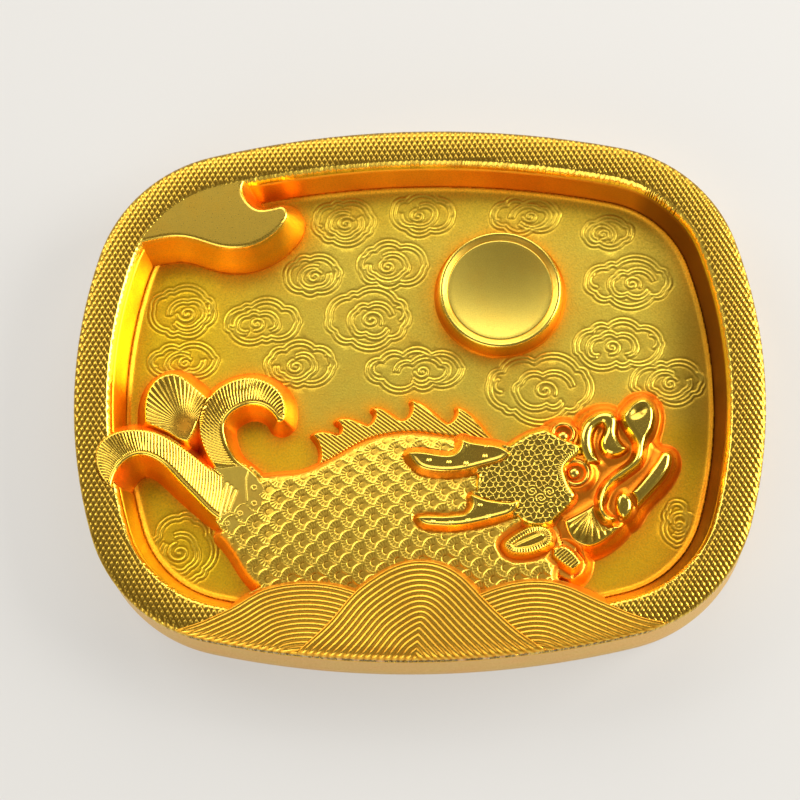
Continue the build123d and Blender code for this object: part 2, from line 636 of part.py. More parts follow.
# Upper relief: small forms that sit in sockets of the body and the head base
upper = {
    "forehead_crest": make_forehead_crest(),
    "large_eye_ring": make_eye_ring(large_eye_place_share, large_eye_ring_radius, large_eye_ball_radius),
    "small_eye_ring": make_eye_ring(small_eye_place_share, small_eye_ring_radius, small_eye_ball_radius),
    "snout_lip": relief(snout_lip_share, lip_height, base=seat_height, edge=fine_edge_radius),
    "nose_curl": relief(nose_curl_share, nose_height, base=seat_height, draft=fin_draft),
    "mouth_ball": relief(mouth_ball_share, mouth_ball_height, base=seat_height, draft=fin_draft,
                         edge=mouth_ball_edge_radius),
    "jaw_bar": relief(jaw_bar_share, jaw_height, base=seat_height, draft=fin_draft, edge=jaw_edge_radius),
    "cheek_fan": relief(cheek_fan_share, cheek_height, base=seat_height, edge=fine_edge_radius),
    "ear_leaf": relief(ear_leaf_share, ear_height, base=seat_height),
    "side_fin": relief(side_fin_share, side_fin_height, base=seat_height),
    "horn_upper": relief(horn_upper_share, horn_height, base=seat_height, edge=fine_edge_radius),
    "horn_lower": relief(horn_lower_share, horn_height, base=seat_height, edge=fine_edge_radius),
}
done = []
for name, form in upper.items():
    upper[name] = less(form, *done)
    done.append(upper[name])
pieces.update(upper)
pieces["large_eye_ball"] = make_eye_ball(large_eye_place_share, large_eye_ball_radius)
pieces["small_eye_ball"] = make_eye_ball(small_eye_place_share, small_eye_ball_radius)

body = less(make_fish_body() & pool, *waves, *done)
head = less(relief(head_base_share, head_height), body, *waves, *done)
root = less(relief(tail_root_share, tail_root_height), body, *waves)
lower_curl = less(lower_curl, root, body)
back_share = max(y for stroke in upper_curl_share for x, y in stroke)
upper_back = (0, back_share * pool_half_depth)
upper_curl = relief(upper_curl_share, upper_curl_height, tilt=(0, upper_curl_slope), start=upper_back)
upper_curl = less(upper_curl, root, body, lower_curl)
fan = less(relief(tail_fan_share, tail_fan_height) & pool, lower_curl, upper_curl)
fin = relief(dorsal_fin_share, dorsal_fin_height, draft=fin_draft, edge=fine_edge_radius)
fin = less(fin, body, head, *done)
pieces["fish_body"] = with_studs("fish_body", body)
pieces["head_base"] = with_studs("head_base", head)
pieces["tail_root"] = with_studs("tail_root", root)
pieces["tail_curl_lower"] = with_studs("tail_curl_lower", lower_curl)
pieces["tail_curl_upper"] = with_studs("tail_curl_upper", upper_curl)
pieces["tail_fan"] = with_studs("tail_fan", fan)
pieces["dorsal_fin"] = with_studs("dorsal_fin", fin)

plate = make_floor_plate()
for name in stud_shares:
    plate = less(plate, *studs(name, stud_clearance))
pieces["floor_plate"] = plate

for name, piece in pieces.items():
    write(name, piece)
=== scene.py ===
import math

import bpy
import numpy as np
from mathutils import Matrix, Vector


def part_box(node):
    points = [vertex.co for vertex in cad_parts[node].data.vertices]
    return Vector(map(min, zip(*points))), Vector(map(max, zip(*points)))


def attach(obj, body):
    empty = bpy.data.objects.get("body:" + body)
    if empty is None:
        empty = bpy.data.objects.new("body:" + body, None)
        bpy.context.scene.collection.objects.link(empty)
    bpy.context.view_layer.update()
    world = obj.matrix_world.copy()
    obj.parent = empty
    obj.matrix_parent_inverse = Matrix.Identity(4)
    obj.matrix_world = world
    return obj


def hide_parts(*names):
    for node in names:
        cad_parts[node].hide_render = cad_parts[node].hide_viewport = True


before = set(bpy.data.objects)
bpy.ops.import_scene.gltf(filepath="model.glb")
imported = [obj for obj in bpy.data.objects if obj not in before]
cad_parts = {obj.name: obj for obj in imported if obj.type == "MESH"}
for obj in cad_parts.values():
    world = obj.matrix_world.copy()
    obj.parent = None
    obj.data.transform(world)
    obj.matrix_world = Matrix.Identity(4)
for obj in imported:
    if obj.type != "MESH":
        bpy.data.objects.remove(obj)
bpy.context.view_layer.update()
print("frame:", len(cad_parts), "nodes")

mm = 0.001
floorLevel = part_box("floor_plate")[1].z / mm  # all lengths below are in mm, in the row frame
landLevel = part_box("tray_casting")[1].z / mm


# Outlines, read from the frame's nodes

def nodeMesh(name):
    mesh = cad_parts[name].data
    points = np.empty(len(mesh.vertices) * 3, np.float32)
    mesh.vertices.foreach_get("co", points)
    mesh.calc_loop_triangles()
    corners = np.empty(len(mesh.loop_triangles) * 3, np.int32)
    mesh.loop_triangles.foreach_get("vertices", corners)
    points = np.round(points.reshape(-1, 3).astype(float) / mm, 4)
    points, back = np.unique(points, axis=0, return_inverse=True)  # joins the doubled corners
    return points, back.reshape(-1)[corners].reshape(-1, 3)


def cutLoops(name, level, slope=(0, 0)):
    # rings of x, y where the plane z = level + slope . (x, y) cuts the node
    points, corners = nodeMesh(name)
    over = points[:, 2] - level - points[:, 0] * slope[0] - points[:, 1] * slope[1]
    over = np.where(np.abs(over) < 1e-5, 1e-5, over)
    above = over > 0
    count = above[corners].sum(1)
    mixed = corners[(count == 1) | (count == 2)]
    if not len(mixed):
        return []
    sides = above[mixed]
    lone = np.where(sides.sum(1) == 1, sides.argmax(1), sides.argmin(1))
    first, second, third = (mixed[np.arange(len(mixed)), (lone + k) % 3] for k in range(3))
    total = len(points)
    nextKey = np.minimum(first, second) * total + np.maximum(first, second)
    lastKey = np.minimum(first, third) * total + np.maximum(first, third)
    start = np.where(above[first], nextKey, lastKey)
    end = np.where(above[first], lastKey, nextKey)
    following = dict(zip(start.tolist(), end.tolist()))
    loops = []
    while following:
        key = next(iter(following))
        ring = []
        while key in following:
            ring.append(key)
            key = following.pop(key)
        low, high = np.divmod(np.array(ring), total)
        share = (over[low] / (over[low] - over[high]))[:, None]
        ring = points[low, :2] + (points[high, :2] - points[low, :2]) * share
        far = np.hypot(*(ring - np.roll(ring, 1, axis=0)).T) > 0.02
        if far.sum() > 3:
            loops.append(ring[far])
    return loops


def ringArea(ring):
    x, y = ring.T
    return float(np.sum(x * np.roll(y, -1) - np.roll(x, -1) * y)) / 2


def largest(loops):
    # the ring round the largest area, counter-clockwise
    ring = max(loops, key=lambda ring: abs(ringArea(ring)))
    return ring if ringArea(ring) > 0 else ring[::-1]


def linesOf(ring, closed=True):
    # rows of x0, y0, x1, y1 and the share of the ring's length at both ends
    ends = np.roll(ring, -1, axis=0) if closed else ring[1:]
    starts = ring if closed else ring[:-1]
    run = np.concatenate([[0], np.cumsum(np.hypot(*(ends - starts).T))])
    share = run / run[-1]
    return np.column_stack([starts, ends, share[:-1], share[1:]])


def beside(lines, out):
    # places at that distance outside the middle of each line
    dx, dy = lines[:, 2] - lines[:, 0], lines[:, 3] - lines[:, 1]
    run = np.maximum(np.hypot(dx, dy), 1e-9)
    return (lines[:, 0] + lines[:, 2]) / 2 + out * dy / run, (lines[:, 1] + lines[:, 3]) / 2 - out * dx / run


def isInside(loops, x, y):
    found = np.zeros(np.shape(x), bool)
    for ring in loops:
        for (x0, y0), (x1, y1) in zip(ring, np.roll(ring, -1, axis=0)):
            if y0 != y1:
                found ^= ((y0 <= y) != (y1 <= y)) & (x < x0 + (y - y0) / (y1 - y0) * (x1 - x0))
    return found


def insideGrid(loops, xs, ys):
    # the same for a square grid, row by row
    toggles = np.zeros((len(ys), len(xs) + 1), int)
    for ring in loops:
        for (x0, y0), (x1, y1) in zip(ring, np.roll(ring, -1, axis=0)):
            if y0 == y1:
                continue
            rows = np.nonzero((y0 <= ys) != (y1 <= ys))[0]
            crossing = x0 + (ys[rows] - y0) / (y1 - y0) * (x1 - x0)
            columns = np.clip(np.ceil((crossing - xs[0]) / (xs[1] - xs[0])), 0, len(xs)).astype(int)
            np.add.at(toggles, (rows, columns), 1)
    return np.cumsum(toggles, axis=1)[:, :-1] % 2 == 1


def nearestGrid(lines, xs, ys, reach):
    # distance to the lines and the share along them, up to that reach
    distance = np.full((len(ys), len(xs)), float(reach))
    along = np.zeros_like(distance)
    step = xs[1] - xs[0]
    for x0, y0, x1, y1, from0, to1 in lines:
        i0 = max(int((min(x0, x1) - reach - xs[0]) / step), 0)
        i1 = min(int((max(x0, x1) + reach - xs[0]) / step) + 2, len(xs))
        j0 = max(int((min(y0, y1) - reach - ys[0]) / step), 0)
        j1 = min(int((max(y0, y1) + reach - ys[0]) / step) + 2, len(ys))
        if i0 >= i1 or j0 >= j1:
            continue
        gx, gy = xs[None, i0:i1], ys[j0:j1, None]
        dx, dy = x1 - x0, y1 - y0
        t = np.clip(((gx - x0) * dx + (gy - y0) * dy) / max(dx * dx + dy * dy, 1e-12), 0, 1)
        away = np.hypot(gx - x0 - t * dx, gy - y0 - t * dy)
        part = distance[j0:j1, i0:i1]
        closer = away < part
        part[closer] = away[closer]
        along[j0:j1, i0:i1][closer] = (from0 + t * (to1 - from0))[closer]
    return distance, along


def signedGrid(ring, xs, ys, reach):
    # distance to a ring, below zero inside it, and the share along it
    near, along = nearestGrid(linesOf(ring), xs, ys, reach)
    return np.where(insideGrid([ring], xs, ys), -near, near), along


def nearestPoints(lines, x, y):
    # distance and nearest place for loose points, some at a time to save memory
    distance, nearX, nearY = (np.empty(len(x)) for _ in range(3))
    x0, y0, x1, y1 = lines[:, :4].T
    dx, dy = x1 - x0, y1 - y0
    for start in range(0, len(x), 2000):
        part = slice(start, start + 2000)
        px, py = x[part, None], y[part, None]
        t = np.clip(((px - x0) * dx + (py - y0) * dy) / np.maximum(dx * dx + dy * dy, 1e-12), 0, 1)
        qx, qy = x0 + t * dx, y0 + t * dy
        away = np.hypot(px - qx, py - qy)
        best = away.argmin(1)
        rows = np.arange(len(best))
        distance[part], nearX[part], nearY[part] = away[rows, best], qx[rows, best], qy[rows, best]
    return distance, nearX, nearY


def gridRound(ring, spread, step):
    low, high = ring.min(0) - spread, ring.max(0) + spread
    return [np.arange(math.floor(low[k] / step), math.ceil(high[k] / step) + 1) * step for k in (0, 1)]


def cellsOf(kept):
    # the cells of a grid whose four corners are all kept
    return kept[:-1, :-1] & kept[:-1, 1:] & kept[1:, 1:] & kept[1:, :-1]


def borderOf(cells):
    padded = np.pad(cells, 1)
    return ~cellsOf(~padded) & ~cellsOf(padded)


# Curves that the forms share

def smooth(low, high, value):
    t = np.clip((value - low) / (high - low), 0, 1)
    return t * t * (3 - 2 * t)


def smoothMax(a, b, width):
    return np.maximum(a, b) + np.maximum(width - np.abs(a - b), 0) ** 2 / (4 * width)


def comb(share):
    return 0.5 + 0.5 * np.cos(2 * math.pi * share)


def bead(away, middle, width):
    return np.exp(-((away - middle) / width) ** 2)


def polar(x, y, place):
    return np.hypot(x - place[0], y - place[1]), np.arctan2(y - place[1], x - place[0])


def edgeDrop(d, outside, spec):
    # how far a surface lies below its top at a distance d inside its open outline: round edge and
    # leaning wall, and past its overlap over its own outline it dives under the neighbour
    radius, lean = spec["radius"], math.radians(spec["draft"])
    centre = radius / math.cos(lean)
    inside = np.clip(centre - d, 0, radius)
    drop = radius - np.sqrt(np.maximum(radius ** 2 - inside ** 2, 0))
    drop = np.where(d < centre - radius * math.cos(lean), radius - d / math.tan(lean), drop)
    return np.maximum(drop, np.where(d > 0, 1.3 * np.maximum(outside - spec["overlap"], 0), 0))


# Materials

def linear(code):
    values = [int(code[k:k + 2], 16) / 255 for k in (1, 3, 5)]
    return tuple(v / 12.92 if v <= 0.04045 else ((v + 0.055) / 1.055) ** 2.4 for v in values) + (1,)


def add(tree, kind, settings=None, out=0, **inputs):
    # one node with its settings, values and links; i0, i1 and so on name a socket by its place
    node = tree.nodes.new("ShaderNode" + kind)
    for key, value in (settings or {}).items():
        setattr(node, key, value)
    for key, value in inputs.items():
        socket = node.inputs[int(key[1:]) if key[1:].isdigit() else key]
        if isinstance(value, bpy.types.NodeSocket):
            tree.links.new(value, socket)
        else:
            socket.default_value = value
    return node.outputs[out]


gilt = {  # what the finishes share, with lengths in mm
    "drift": 7, "driftShare": 0.16,  # slow change of the tone over the metal
    "grain": 0.25, "bump": 0.004,  # marks of the finish: really under 0.1 mm, drawn coarser so that they show
    # the speckle of the grain, painted shade, painted light, and the painted highlight with wear that brightens the
    # edges
    "speckle": 0.2, "dull": "#8A6A18", "shade": "#8A6014", "paintedLight": "#FFD22A", "wearAndHighlight": 0.5, "bright": "#FFDC58",
    "scatter": 0.12, "rubbed": 0.12, "warmSoft": 0.16, "soft": 0.2,  # changes of the roughness
}


def gilding(finish):
    # gilt metal: the colour drifts from clear gold to orange where walls mirror each other; that orange is a painted
    # glow of the light the walls throw on each other
    finish = {**gilt, **finish}
    material = bpy.data.materials.new(finish["name"])
    material.use_nodes = True
    tree = material.node_tree
    shader = tree.nodes["Principled BSDF"]
    place = add(tree, "TexCoord", out="Object")
    drift = add(tree, "TexNoise", Vector=place, Scale=1 / (finish["drift"] * mm), Detail=3.0)
    grain = add(tree, "TexNoise", Vector=place, Scale=1 / (finish["grain"] * mm), Detail=2.0)
    warm, edge, paintedLight, shade, soft = (add(tree, "Attribute", {"attribute_name": name}, out="Fac")
                                      for name in ("warm", "edge", "paintedLight", "shade", "soft"))
    drift = add(tree, "MapRange", i0=drift, i1=0.3, i2=0.7)
    warmth = add(tree, "Math", {"operation": "MULTIPLY_ADD"}, i0=drift, i1=finish["driftShare"], i2=warm)
    warmth = add(tree, "Math", {"operation": "SUBTRACT", "use_clamp": True}, i0=warmth, i1=finish["driftShare"] / 2)
    colour = linear(finish["colour"])
    for value, low, high, share, key in (  # each tone covers the ones before it: painted light, the painted orange glow and its deeper core, painted shade, the grain's speckle, and painted highlight with wear on the edges
        (paintedLight, 0, 1, 1, "paintedLight"), (warmth, 0, 0.55, 1, "warm"), (warmth, 0.55, 1, 1, "deep"),
        (shade, 0, 1, 0.8, "shade"), (grain, 0.35, 0.7, finish["speckle"], "dull"),
        (edge, 0.2, 1, finish["wearAndHighlight"], "bright"),
    ):
        value = add(tree, "MapRange", i0=value, i1=low, i2=high, i4=share)
        colour = add(tree, "Mix", {"data_type": "RGBA"}, out=2, i0=value, i6=colour, i7=linear(finish[key]))
    rough = finish["rough"]
    grainy = add(tree, "MapRange", i0=grain, i1=0.3, i2=0.7, i3=-0.5, i4=0.5)
    for value, share in ((grainy, finish["scatter"]), (edge, -finish["rubbed"]), (warm, finish["warmSoft"]),
                         (soft, finish["soft"])):
        rough = add(tree, "Math", {"operation": "MULTIPLY_ADD"}, i0=value, i1=share, i2=rough)
    bump = add(tree, "Bump", Height=grain, Distance=finish["bump"] * mm, Strength=1.0)
    for key, value in (("Base Color", colour), ("Roughness", rough), ("Normal", bump)):
        tree.links.new(value, shader.inputs[key])
    shader.inputs["Metallic"].default_value = 1.0
    return material


finishes = {}
for finish in (
    {"slot": "tray_wall", "name": "gilt_brass_satin_wall",  # soft orange down the pool wall, a painted glow of the light the walls throw on each other
     "colour": "#F0C43C", "warm": "#FFAA28", "deep": "#F08C18", "shade": "#5C3C0C", "rough": 0.34, "grain": 0.30},
    {"slot": "blasted_floor", "name": "gilt_brass_blasted_satin",  # fine glittering olive gold floor
     "colour": "#E8CC4C", "warm": "#FFAE28", "deep": "#F08818", "rough": 0.42, "grain": 0.34, "bump": 0.035,
     "speckle": 0.4},
    {"slot": "knurled_rim", "name": "gilt_brass_knurled",  # small diamonds, bright with painted highlight and wear, between grooves dark with painted shade
     "colour": "#F2CC50", "warm": "#E0A438", "deep": "#8A5C14", "rough": 0.30, "wearAndHighlight": 0.7},
    {"slot": "polished_dish", "name": "gilt_brass_lapped_dish",  # smooth bowl with a soft sheen
     "colour": "#E8CC58", "warm": "#F4A828", "deep": "#D87C10", "rough": 0.34, "grain": 0.24, "bump": 0.014,
     "speckle": 0.3},
    {"slot": "satin_shelf", "name": "gilt_brass_satin_step",  # quiet brown olive plateau
     "colour": "#E4BE4C", "warm": "#FFB020", "deep": "#E08818", "rough": 0.32, "grain": 0.24, "bump": 0.014,
     "speckle": 0.3},
    {"slot": "ridged_wave", "name": "gilt_brass_ridged",  # combed lines, bright with painted highlight and wear
     "colour": "#FFC840", "warm": "#F8A830", "deep": "#C88420", "rough": 0.34},
    {"slot": "scaled_body", "name": "gilt_brass_chased_scales",  # painted glints and wear on every scale edge
     "colour": "#F8CC4C", "warm": "#F8A030", "deep": "#EC8C24", "rough": 0.42, "wearAndHighlight": 0.8},
    {"slot": "polished_relief", "name": "gilt_brass_polished",  # mirror-like soft forms
     "colour": "#E0C050", "warm": "#FF9C26", "deep": "#F07E1E", "rough": 0.24, "grain": 0.30, "bump": 0.003},
    {"slot": "ribbed_relief", "name": "gilt_brass_chased_ribs",  # crisp ribs, shining with painted highlight and wear
     "colour": "#F0C64A", "warm": "#FFA02A", "deep": "#F08820", "rough": 0.28, "wearAndHighlight": 0.6},
    {"slot": "netted_crest", "name": "gilt_brass_chased_net",  # thin outlines of cells, bright with painted highlight and wear
     "colour": "#DCBC4C", "warm": "#FFA638", "deep": "#F09028", "rough": 0.26, "wearAndHighlight": 0.7},
):
    finishes[finish["slot"]] = gilding(finish)
print("finishes made")


# Meshes

def addPiece(spec, points, faceLists, tone):
    # faceLists holds arrays of faces with one corner count each, and lists of longer rings
    name = spec["name"]
    mesh = bpy.data.meshes.new(name)
    corners, totals = [], []
    for faces in faceLists:
        for part in [faces] if isinstance(faces, np.ndarray) else [np.array([ring]) for ring in faces]:
            corners.append(part.ravel())
            totals.append(np.full(len(part), part.shape[1]))
    corners = np.concatenate(corners).astype(np.int32)
    totals = np.concatenate(totals).astype(np.int32)
    mesh.vertices.add(len(points))
    mesh.vertices.foreach_set("co", (points * mm).astype(np.float32).ravel())
    mesh.loops.add(len(corners))
    mesh.loops.foreach_set("vertex_index", corners)
    mesh.polygons.add(len(totals))
    mesh.polygons.foreach_set("loop_start", np.concatenate([[0], np.cumsum(totals)[:-1]]).astype(np.int32))
    mesh.update(calc_edges=True)
    mesh.polygons.foreach_set("use_smooth", np.ones(len(totals), bool))
    for key, values in tone.items():
        attribute = mesh.attributes.new(key, "FLOAT", "POINT")
        attribute.data.foreach_set("value", np.ascontiguousarray(values, np.float32))
    mesh.validate()
    piece = bpy.data.objects.new(name, mesh)
    bpy.context.scene.collection.objects.link(piece)
    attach(piece, "root")
    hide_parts(spec["node"])
    mesh.materials.append(finishes[spec["slot"]])
    print(name, int((totals - 2).sum()), "triangles")


cellSides = ((-1, 0, 0, 1), (0, 1, 1, 2), (1, 0, 2, 3), (0, -1, 3, 0))  # step to the next cell, corners between


def gridPiece(spec, x, y, z, cells, tone, skirt, small=None, large=()):
    # the cells of a grid of points, closed by a skirt and a flat underside; small cells alone are drawn
    # where that is given, and large rings of points stand for the others
    index = np.arange(x.size).reshape(x.shape)
    padded = np.pad(cells, 1)
    j, i = np.nonzero(cells)
    quads = np.column_stack([index[j, i], index[j, i + 1], index[j + 1, i + 1], index[j + 1, i]])
    borders = np.concatenate([quads[~padded[1 + j + dj, 1 + i + di]][:, [start, end]]
                              for dj, di, start, end in cellSides])
    if small is not None:
        quads = quads[small[j, i]]
    used = np.unique(np.concatenate([quads.ravel(), *large]))
    rim = np.unique(borders)
    lookup, lower = np.full(x.size, -1), np.full(x.size, -1)
    lookup[used] = np.arange(len(used))
    lower[rim] = np.arange(len(rim)) + len(used)
    x, y, z = x.ravel(), y.ravel(), z.ravel()
    under = skirt(x[rim], y[rim]) if callable(skirt) else (x[rim], y[rim], np.full(len(rim), skirt))
    following = {}
    for start, end in borders.tolist():
        following.setdefault(start, []).append(end)
    rings = []
    while following:
        ring, key = [next(iter(following))], None
        while key != ring[0]:
            if key is not None:
                ring.append(key)
            ends = following[ring[-1]]
            key = ends.pop()
            if not ends:
                del following[ring[-1]]
        rings.append(lower[ring[::-1]])
    walls = np.column_stack([lookup[borders[:, 1]], lookup[borders[:, 0]], lower[borders[:, 0]], lower[borders[:, 1]]])
    points = np.concatenate([np.column_stack([x[used], y[used], z[used]]), np.column_stack(under)])
    tone = {key: np.concatenate([value.ravel()[used], value.ravel()[rim]]) for key, value in tone.items()}
    addPiece(spec, points, [lookup[quads], walls, [lookup[ring] for ring in large], rings], tone)


def topPlane(name):
    # level and slope of the node's largest nearly level facet
    points, corners = nodeMesh(name)
    a, b, c = (points[corners[:, k]] for k in range(3))
    normal = np.cross(b - a, c - a)
    size = np.linalg.norm(normal, axis=1)
    level = normal[:, 2] / np.maximum(size, 1e-9)
    best = np.where((level > 0.9) & (a[:, 2] > floorLevel + 0.5), size, 0).argmax()
    slope = -normal[best, :2] / normal[best, 2]
    return a[best, 2] - slope[0] * a[best, 0] - slope[1] * a[best, 1], slope


relief = {  # what holds for a raised form unless its own dictionary says otherwise
    "step": 0.1, "base": floorLevel, "foot": 0.35,  # grid, ground and the fillet there
    "cadEdge": 0.5, "draft": 23, "grow": 0, "overlap": 0.3,  # the node's own edge, lean of the wall, more width
    "neighbours": (), "lookOut": 0.35, "lookUnder": 0.4, "under": (),  # what it joins, and what hides it
    # glow and warm set the painted orange glow of light thrown between walls, shine the painted highlight and wear of
    # the round edge
    "moats": (), "fade": 0.5, "band": 0, "glow": (), "warm": 0, "shine": 1, "soft": 0,
}
reliefReach, reliefSpread = 3.5, 3.0


def reliefField(spec):
    # distances and places for one raised form, cut from its node just under its round edge
    level, slope = spec["plane"] if "plane" in spec else topPlane(spec["node"])
    drop = spec.get("cutDrop", spec["cadEdge"] + 0.02)
    ring = largest(cutLoops(spec["node"], level - drop, slope))
    below = level - drop - spec["lookUnder"]
    others = [loop for name in spec["neighbours"] for loop in cutLoops(name, below, slope)]
    grown = (drop - spec["cadEdge"]) * math.tan(math.radians(spec["draft"]))
    lines = linesOf(ring)
    freeLines = lines[~isInside(others, *beside(lines, spec["lookOut"]))]
    xs, ys = gridRound(ring, reliefSpread, spec["step"])
    signed, along = signedGrid(ring, xs, ys, reliefReach)
    away = nearestGrid(freeLines, xs, ys, reliefReach)[0]
    joined = (signed < 0) | insideGrid(others, xs, ys)
    x, y = np.meshgrid(xs, ys)
    return {"xs": xs, "ys": ys, "x": x, "y": y, "d": np.where(joined, away, -away) + grown + spec["grow"],
            "outside": signed - grown, "along": along, "ring": ring, "top": level + slope[0] * x + slope[1] * y}


def moats(field, around):
    # hollows round what stands on the surface: its name, depth, width and, if need be, the level of the cut
    depth = np.zeros_like(field["d"])
    for name, deep, wide, *at in around:
        level, slope = (at[0] + 0.7, (0, 0)) if at else topPlane(name)
        away = signedGrid(largest(cutLoops(name, level - 0.7, slope)), field["xs"], field["ys"], wide + 0.1)[0]
        depth = np.maximum(depth, deep * smooth(wide, 0.3, np.maximum(away, 0)))
    return depth


def reliefPiece(spec):
    spec = {**relief, **spec}
    field = reliefField(spec)
    x, y, d, outside, top = (field[key] for key in ("x", "y", "d", "outside", "top"))
    if "top" in spec:
        top = spec["top"](x, y, field)
    hollow = moats(field, spec["moats"])
    z = top - edgeDrop(d, outside, spec) - hollow
    groove, crest = np.zeros_like(z), np.zeros_like(z)
    if "detail" in spec:
        # a detail gives its rise, a painted shade for its hollows and a bright mark on its crests, painted highlight
        # and wear
        rise, groove, crest = spec["detail"](x, y, d, field)
        fade = smooth(-0.05, spec["fade"], d) * smooth(0.35, 0.05, hollow)
        z, groove, crest = z + rise * fade, groove * fade, crest * fade
    base = spec["base"]
    z = smoothMax(z, base - 0.04, spec["foot"])
    kept = (z > base - 0.035) & (outside < reliefSpread - 0.3)
    for name in spec["under"]:
        kept &= signedGrid(largest(cutLoops(name, floorLevel + 4)), field["xs"], field["ys"], 1.6)[0] >= -1.5
    height = np.clip((z - base) / np.maximum(top - base, 0.5), 0, 1)
    # painted orange glow of the light between walls, on the walls and in the moats, less higher up
    onWall = np.maximum(smooth(0.15, -0.35, d - spec["band"]), smooth(0.05, 0.5, hollow))
    for px, py, size in spec["glow"]:  # where the light of the walls gathers
        onWall = np.maximum(onWall, 0.8 * smooth(size, 0.3 * size, np.hypot(x - px, y - py)))
    warm = onWall * (0.9 - 0.45 * smooth(0, 0.5, height)) + (1 - onWall) * spec["warm"]
    # painted highlight and wear along the round edge and on the crests; painted shade in the hollows off the walls
    edge = bead(d, spec["radius"] * 0.5, spec["radius"] * 0.45) * spec["shine"]
    tone = {"warm": np.clip(warm, 0, 1), "edge": np.clip(np.maximum(edge, crest), 0, 1), "shade": groove * (1 - onWall),
            "soft": np.full_like(z, spec["soft"])}
    gridPiece(spec, x, y, z, cellsOf(kept), tone, base - 0.3)


def awayFrom(points, field, reach=1.5):
    return nearestGrid(linesOf(np.array(points, float), False), field["xs"], field["ys"], reach)[0]


# Plan of the rim: distances from its outer and inner contour

trayLoops = sorted(cutLoops("tray_casting", landLevel - 0.01), key=lambda ring: -abs(ringArea(ring)))
contours = {"outer": trayLoops[0], "inner": trayLoops[-1]}
edgeShift = {"outer": 0.06, "inner": 0.675}  # from each contour to the rim band's edge
edgeLevel = 14.5
rimWidth = 6.3
crownAway = (-1, 0, 0.15, 0.39, 0.8, 1.3, 2.2, 3.15)  # the crown's rise from the outer edge
crownShare = (0, 0, 0.34, 0.6, 0.8, 0.9, 0.98, 1)
innerFrom = (-1, 0, 0.3, 0.8, 1.6, 2.4, 3.15)  # and from the inner one
innerCrown = (0.5, 0.5, 0.68, 0.82, 0.9, 0.97, 1)


def rimPlan(x, y):
    # distances inwards from the band's outer edge and outwards from its inner one, with the nearest
    # places on the contours
    shape = np.shape(x)
    x, y = np.ravel(x), np.ravel(y)
    plan = {}
    for key, ring in contours.items():
        away, plan[key + "X"], plan[key + "Y"] = nearestPoints(linesOf(ring), x, y)
        plan[key] = np.where(isInside([ring], x, y) == (key == "outer"), away, -away) - edgeShift[key]
    return {key: value.reshape(shape) for key, value in plan.items()}


def toEdge(x, y, plan, key, at):
    # takes the points of a ragged border to the band's edge
    distance = plan[key] + edgeShift[key] + 1e-9
    share = np.sign(distance) * edgeShift[key] / np.maximum(np.abs(distance), 1e-6)
    nearX, nearY = plan[key + "X"], plan[key + "Y"]
    return np.where(at, nearX + (x - nearX) * share, x), np.where(at, nearY + (y - nearY) * share, y)


def skirtPlan(px, py, keys):
    # under the edge of the band the skirt stands on the contour itself
    plan = rimPlan(px, py)
    for key in keys:
        at = np.abs(plan[key]) < 0.02
        px, py = np.where(at, plan[key + "X"], px), np.where(at, plan[key + "Y"], py)
    return px, py, plan


# Tray: a closed profile swept along the contour, from the recess underneath over the foot and the side to the floor

trayWall = {"name": "trayCasting", "slot": "tray_wall", "node": "tray_casting", "count": 420,
            "flare": 0.44, "wallFoot": -9.0, "foot": [(-8.1, 1.0), (-7.1, 0.1), (-6.9, 0.0)]}


def contourPoints(count):
    # even places along the outer contour, with their outward normals
    ring = contours["outer"]
    share = np.append(linesOf(ring)[:, 4], 1)
    even, closed = np.arange(count) / count, np.append(ring, ring[:1], 0)
    points = np.stack([np.interp(even, share, closed[:, k]) for k in (0, 1)], 1)
    for _ in range(3):  # evens out the short straight stretches
        points = (np.roll(points, 1, 0) + 2 * points + np.roll(points, -1, 0)) / 4
    ahead = np.roll(points, -1, 0) - np.roll(points, 1, 0)
    ahead /= np.hypot(*ahead.T)[:, None]
    turn = 1 if ringArea(ring) > 0 else -1
    return points, np.stack([ahead[:, 1], -ahead[:, 0]], 1) * turn, turn


def sweptFaces(rows, columns):
    index = np.arange(rows * columns).reshape(rows, columns)
    a, b = index[:-1], index[1:]
    return index, np.stack([a, np.roll(a, -1, 1), np.roll(b, -1, 1), b], 2).reshape(-1, 4)


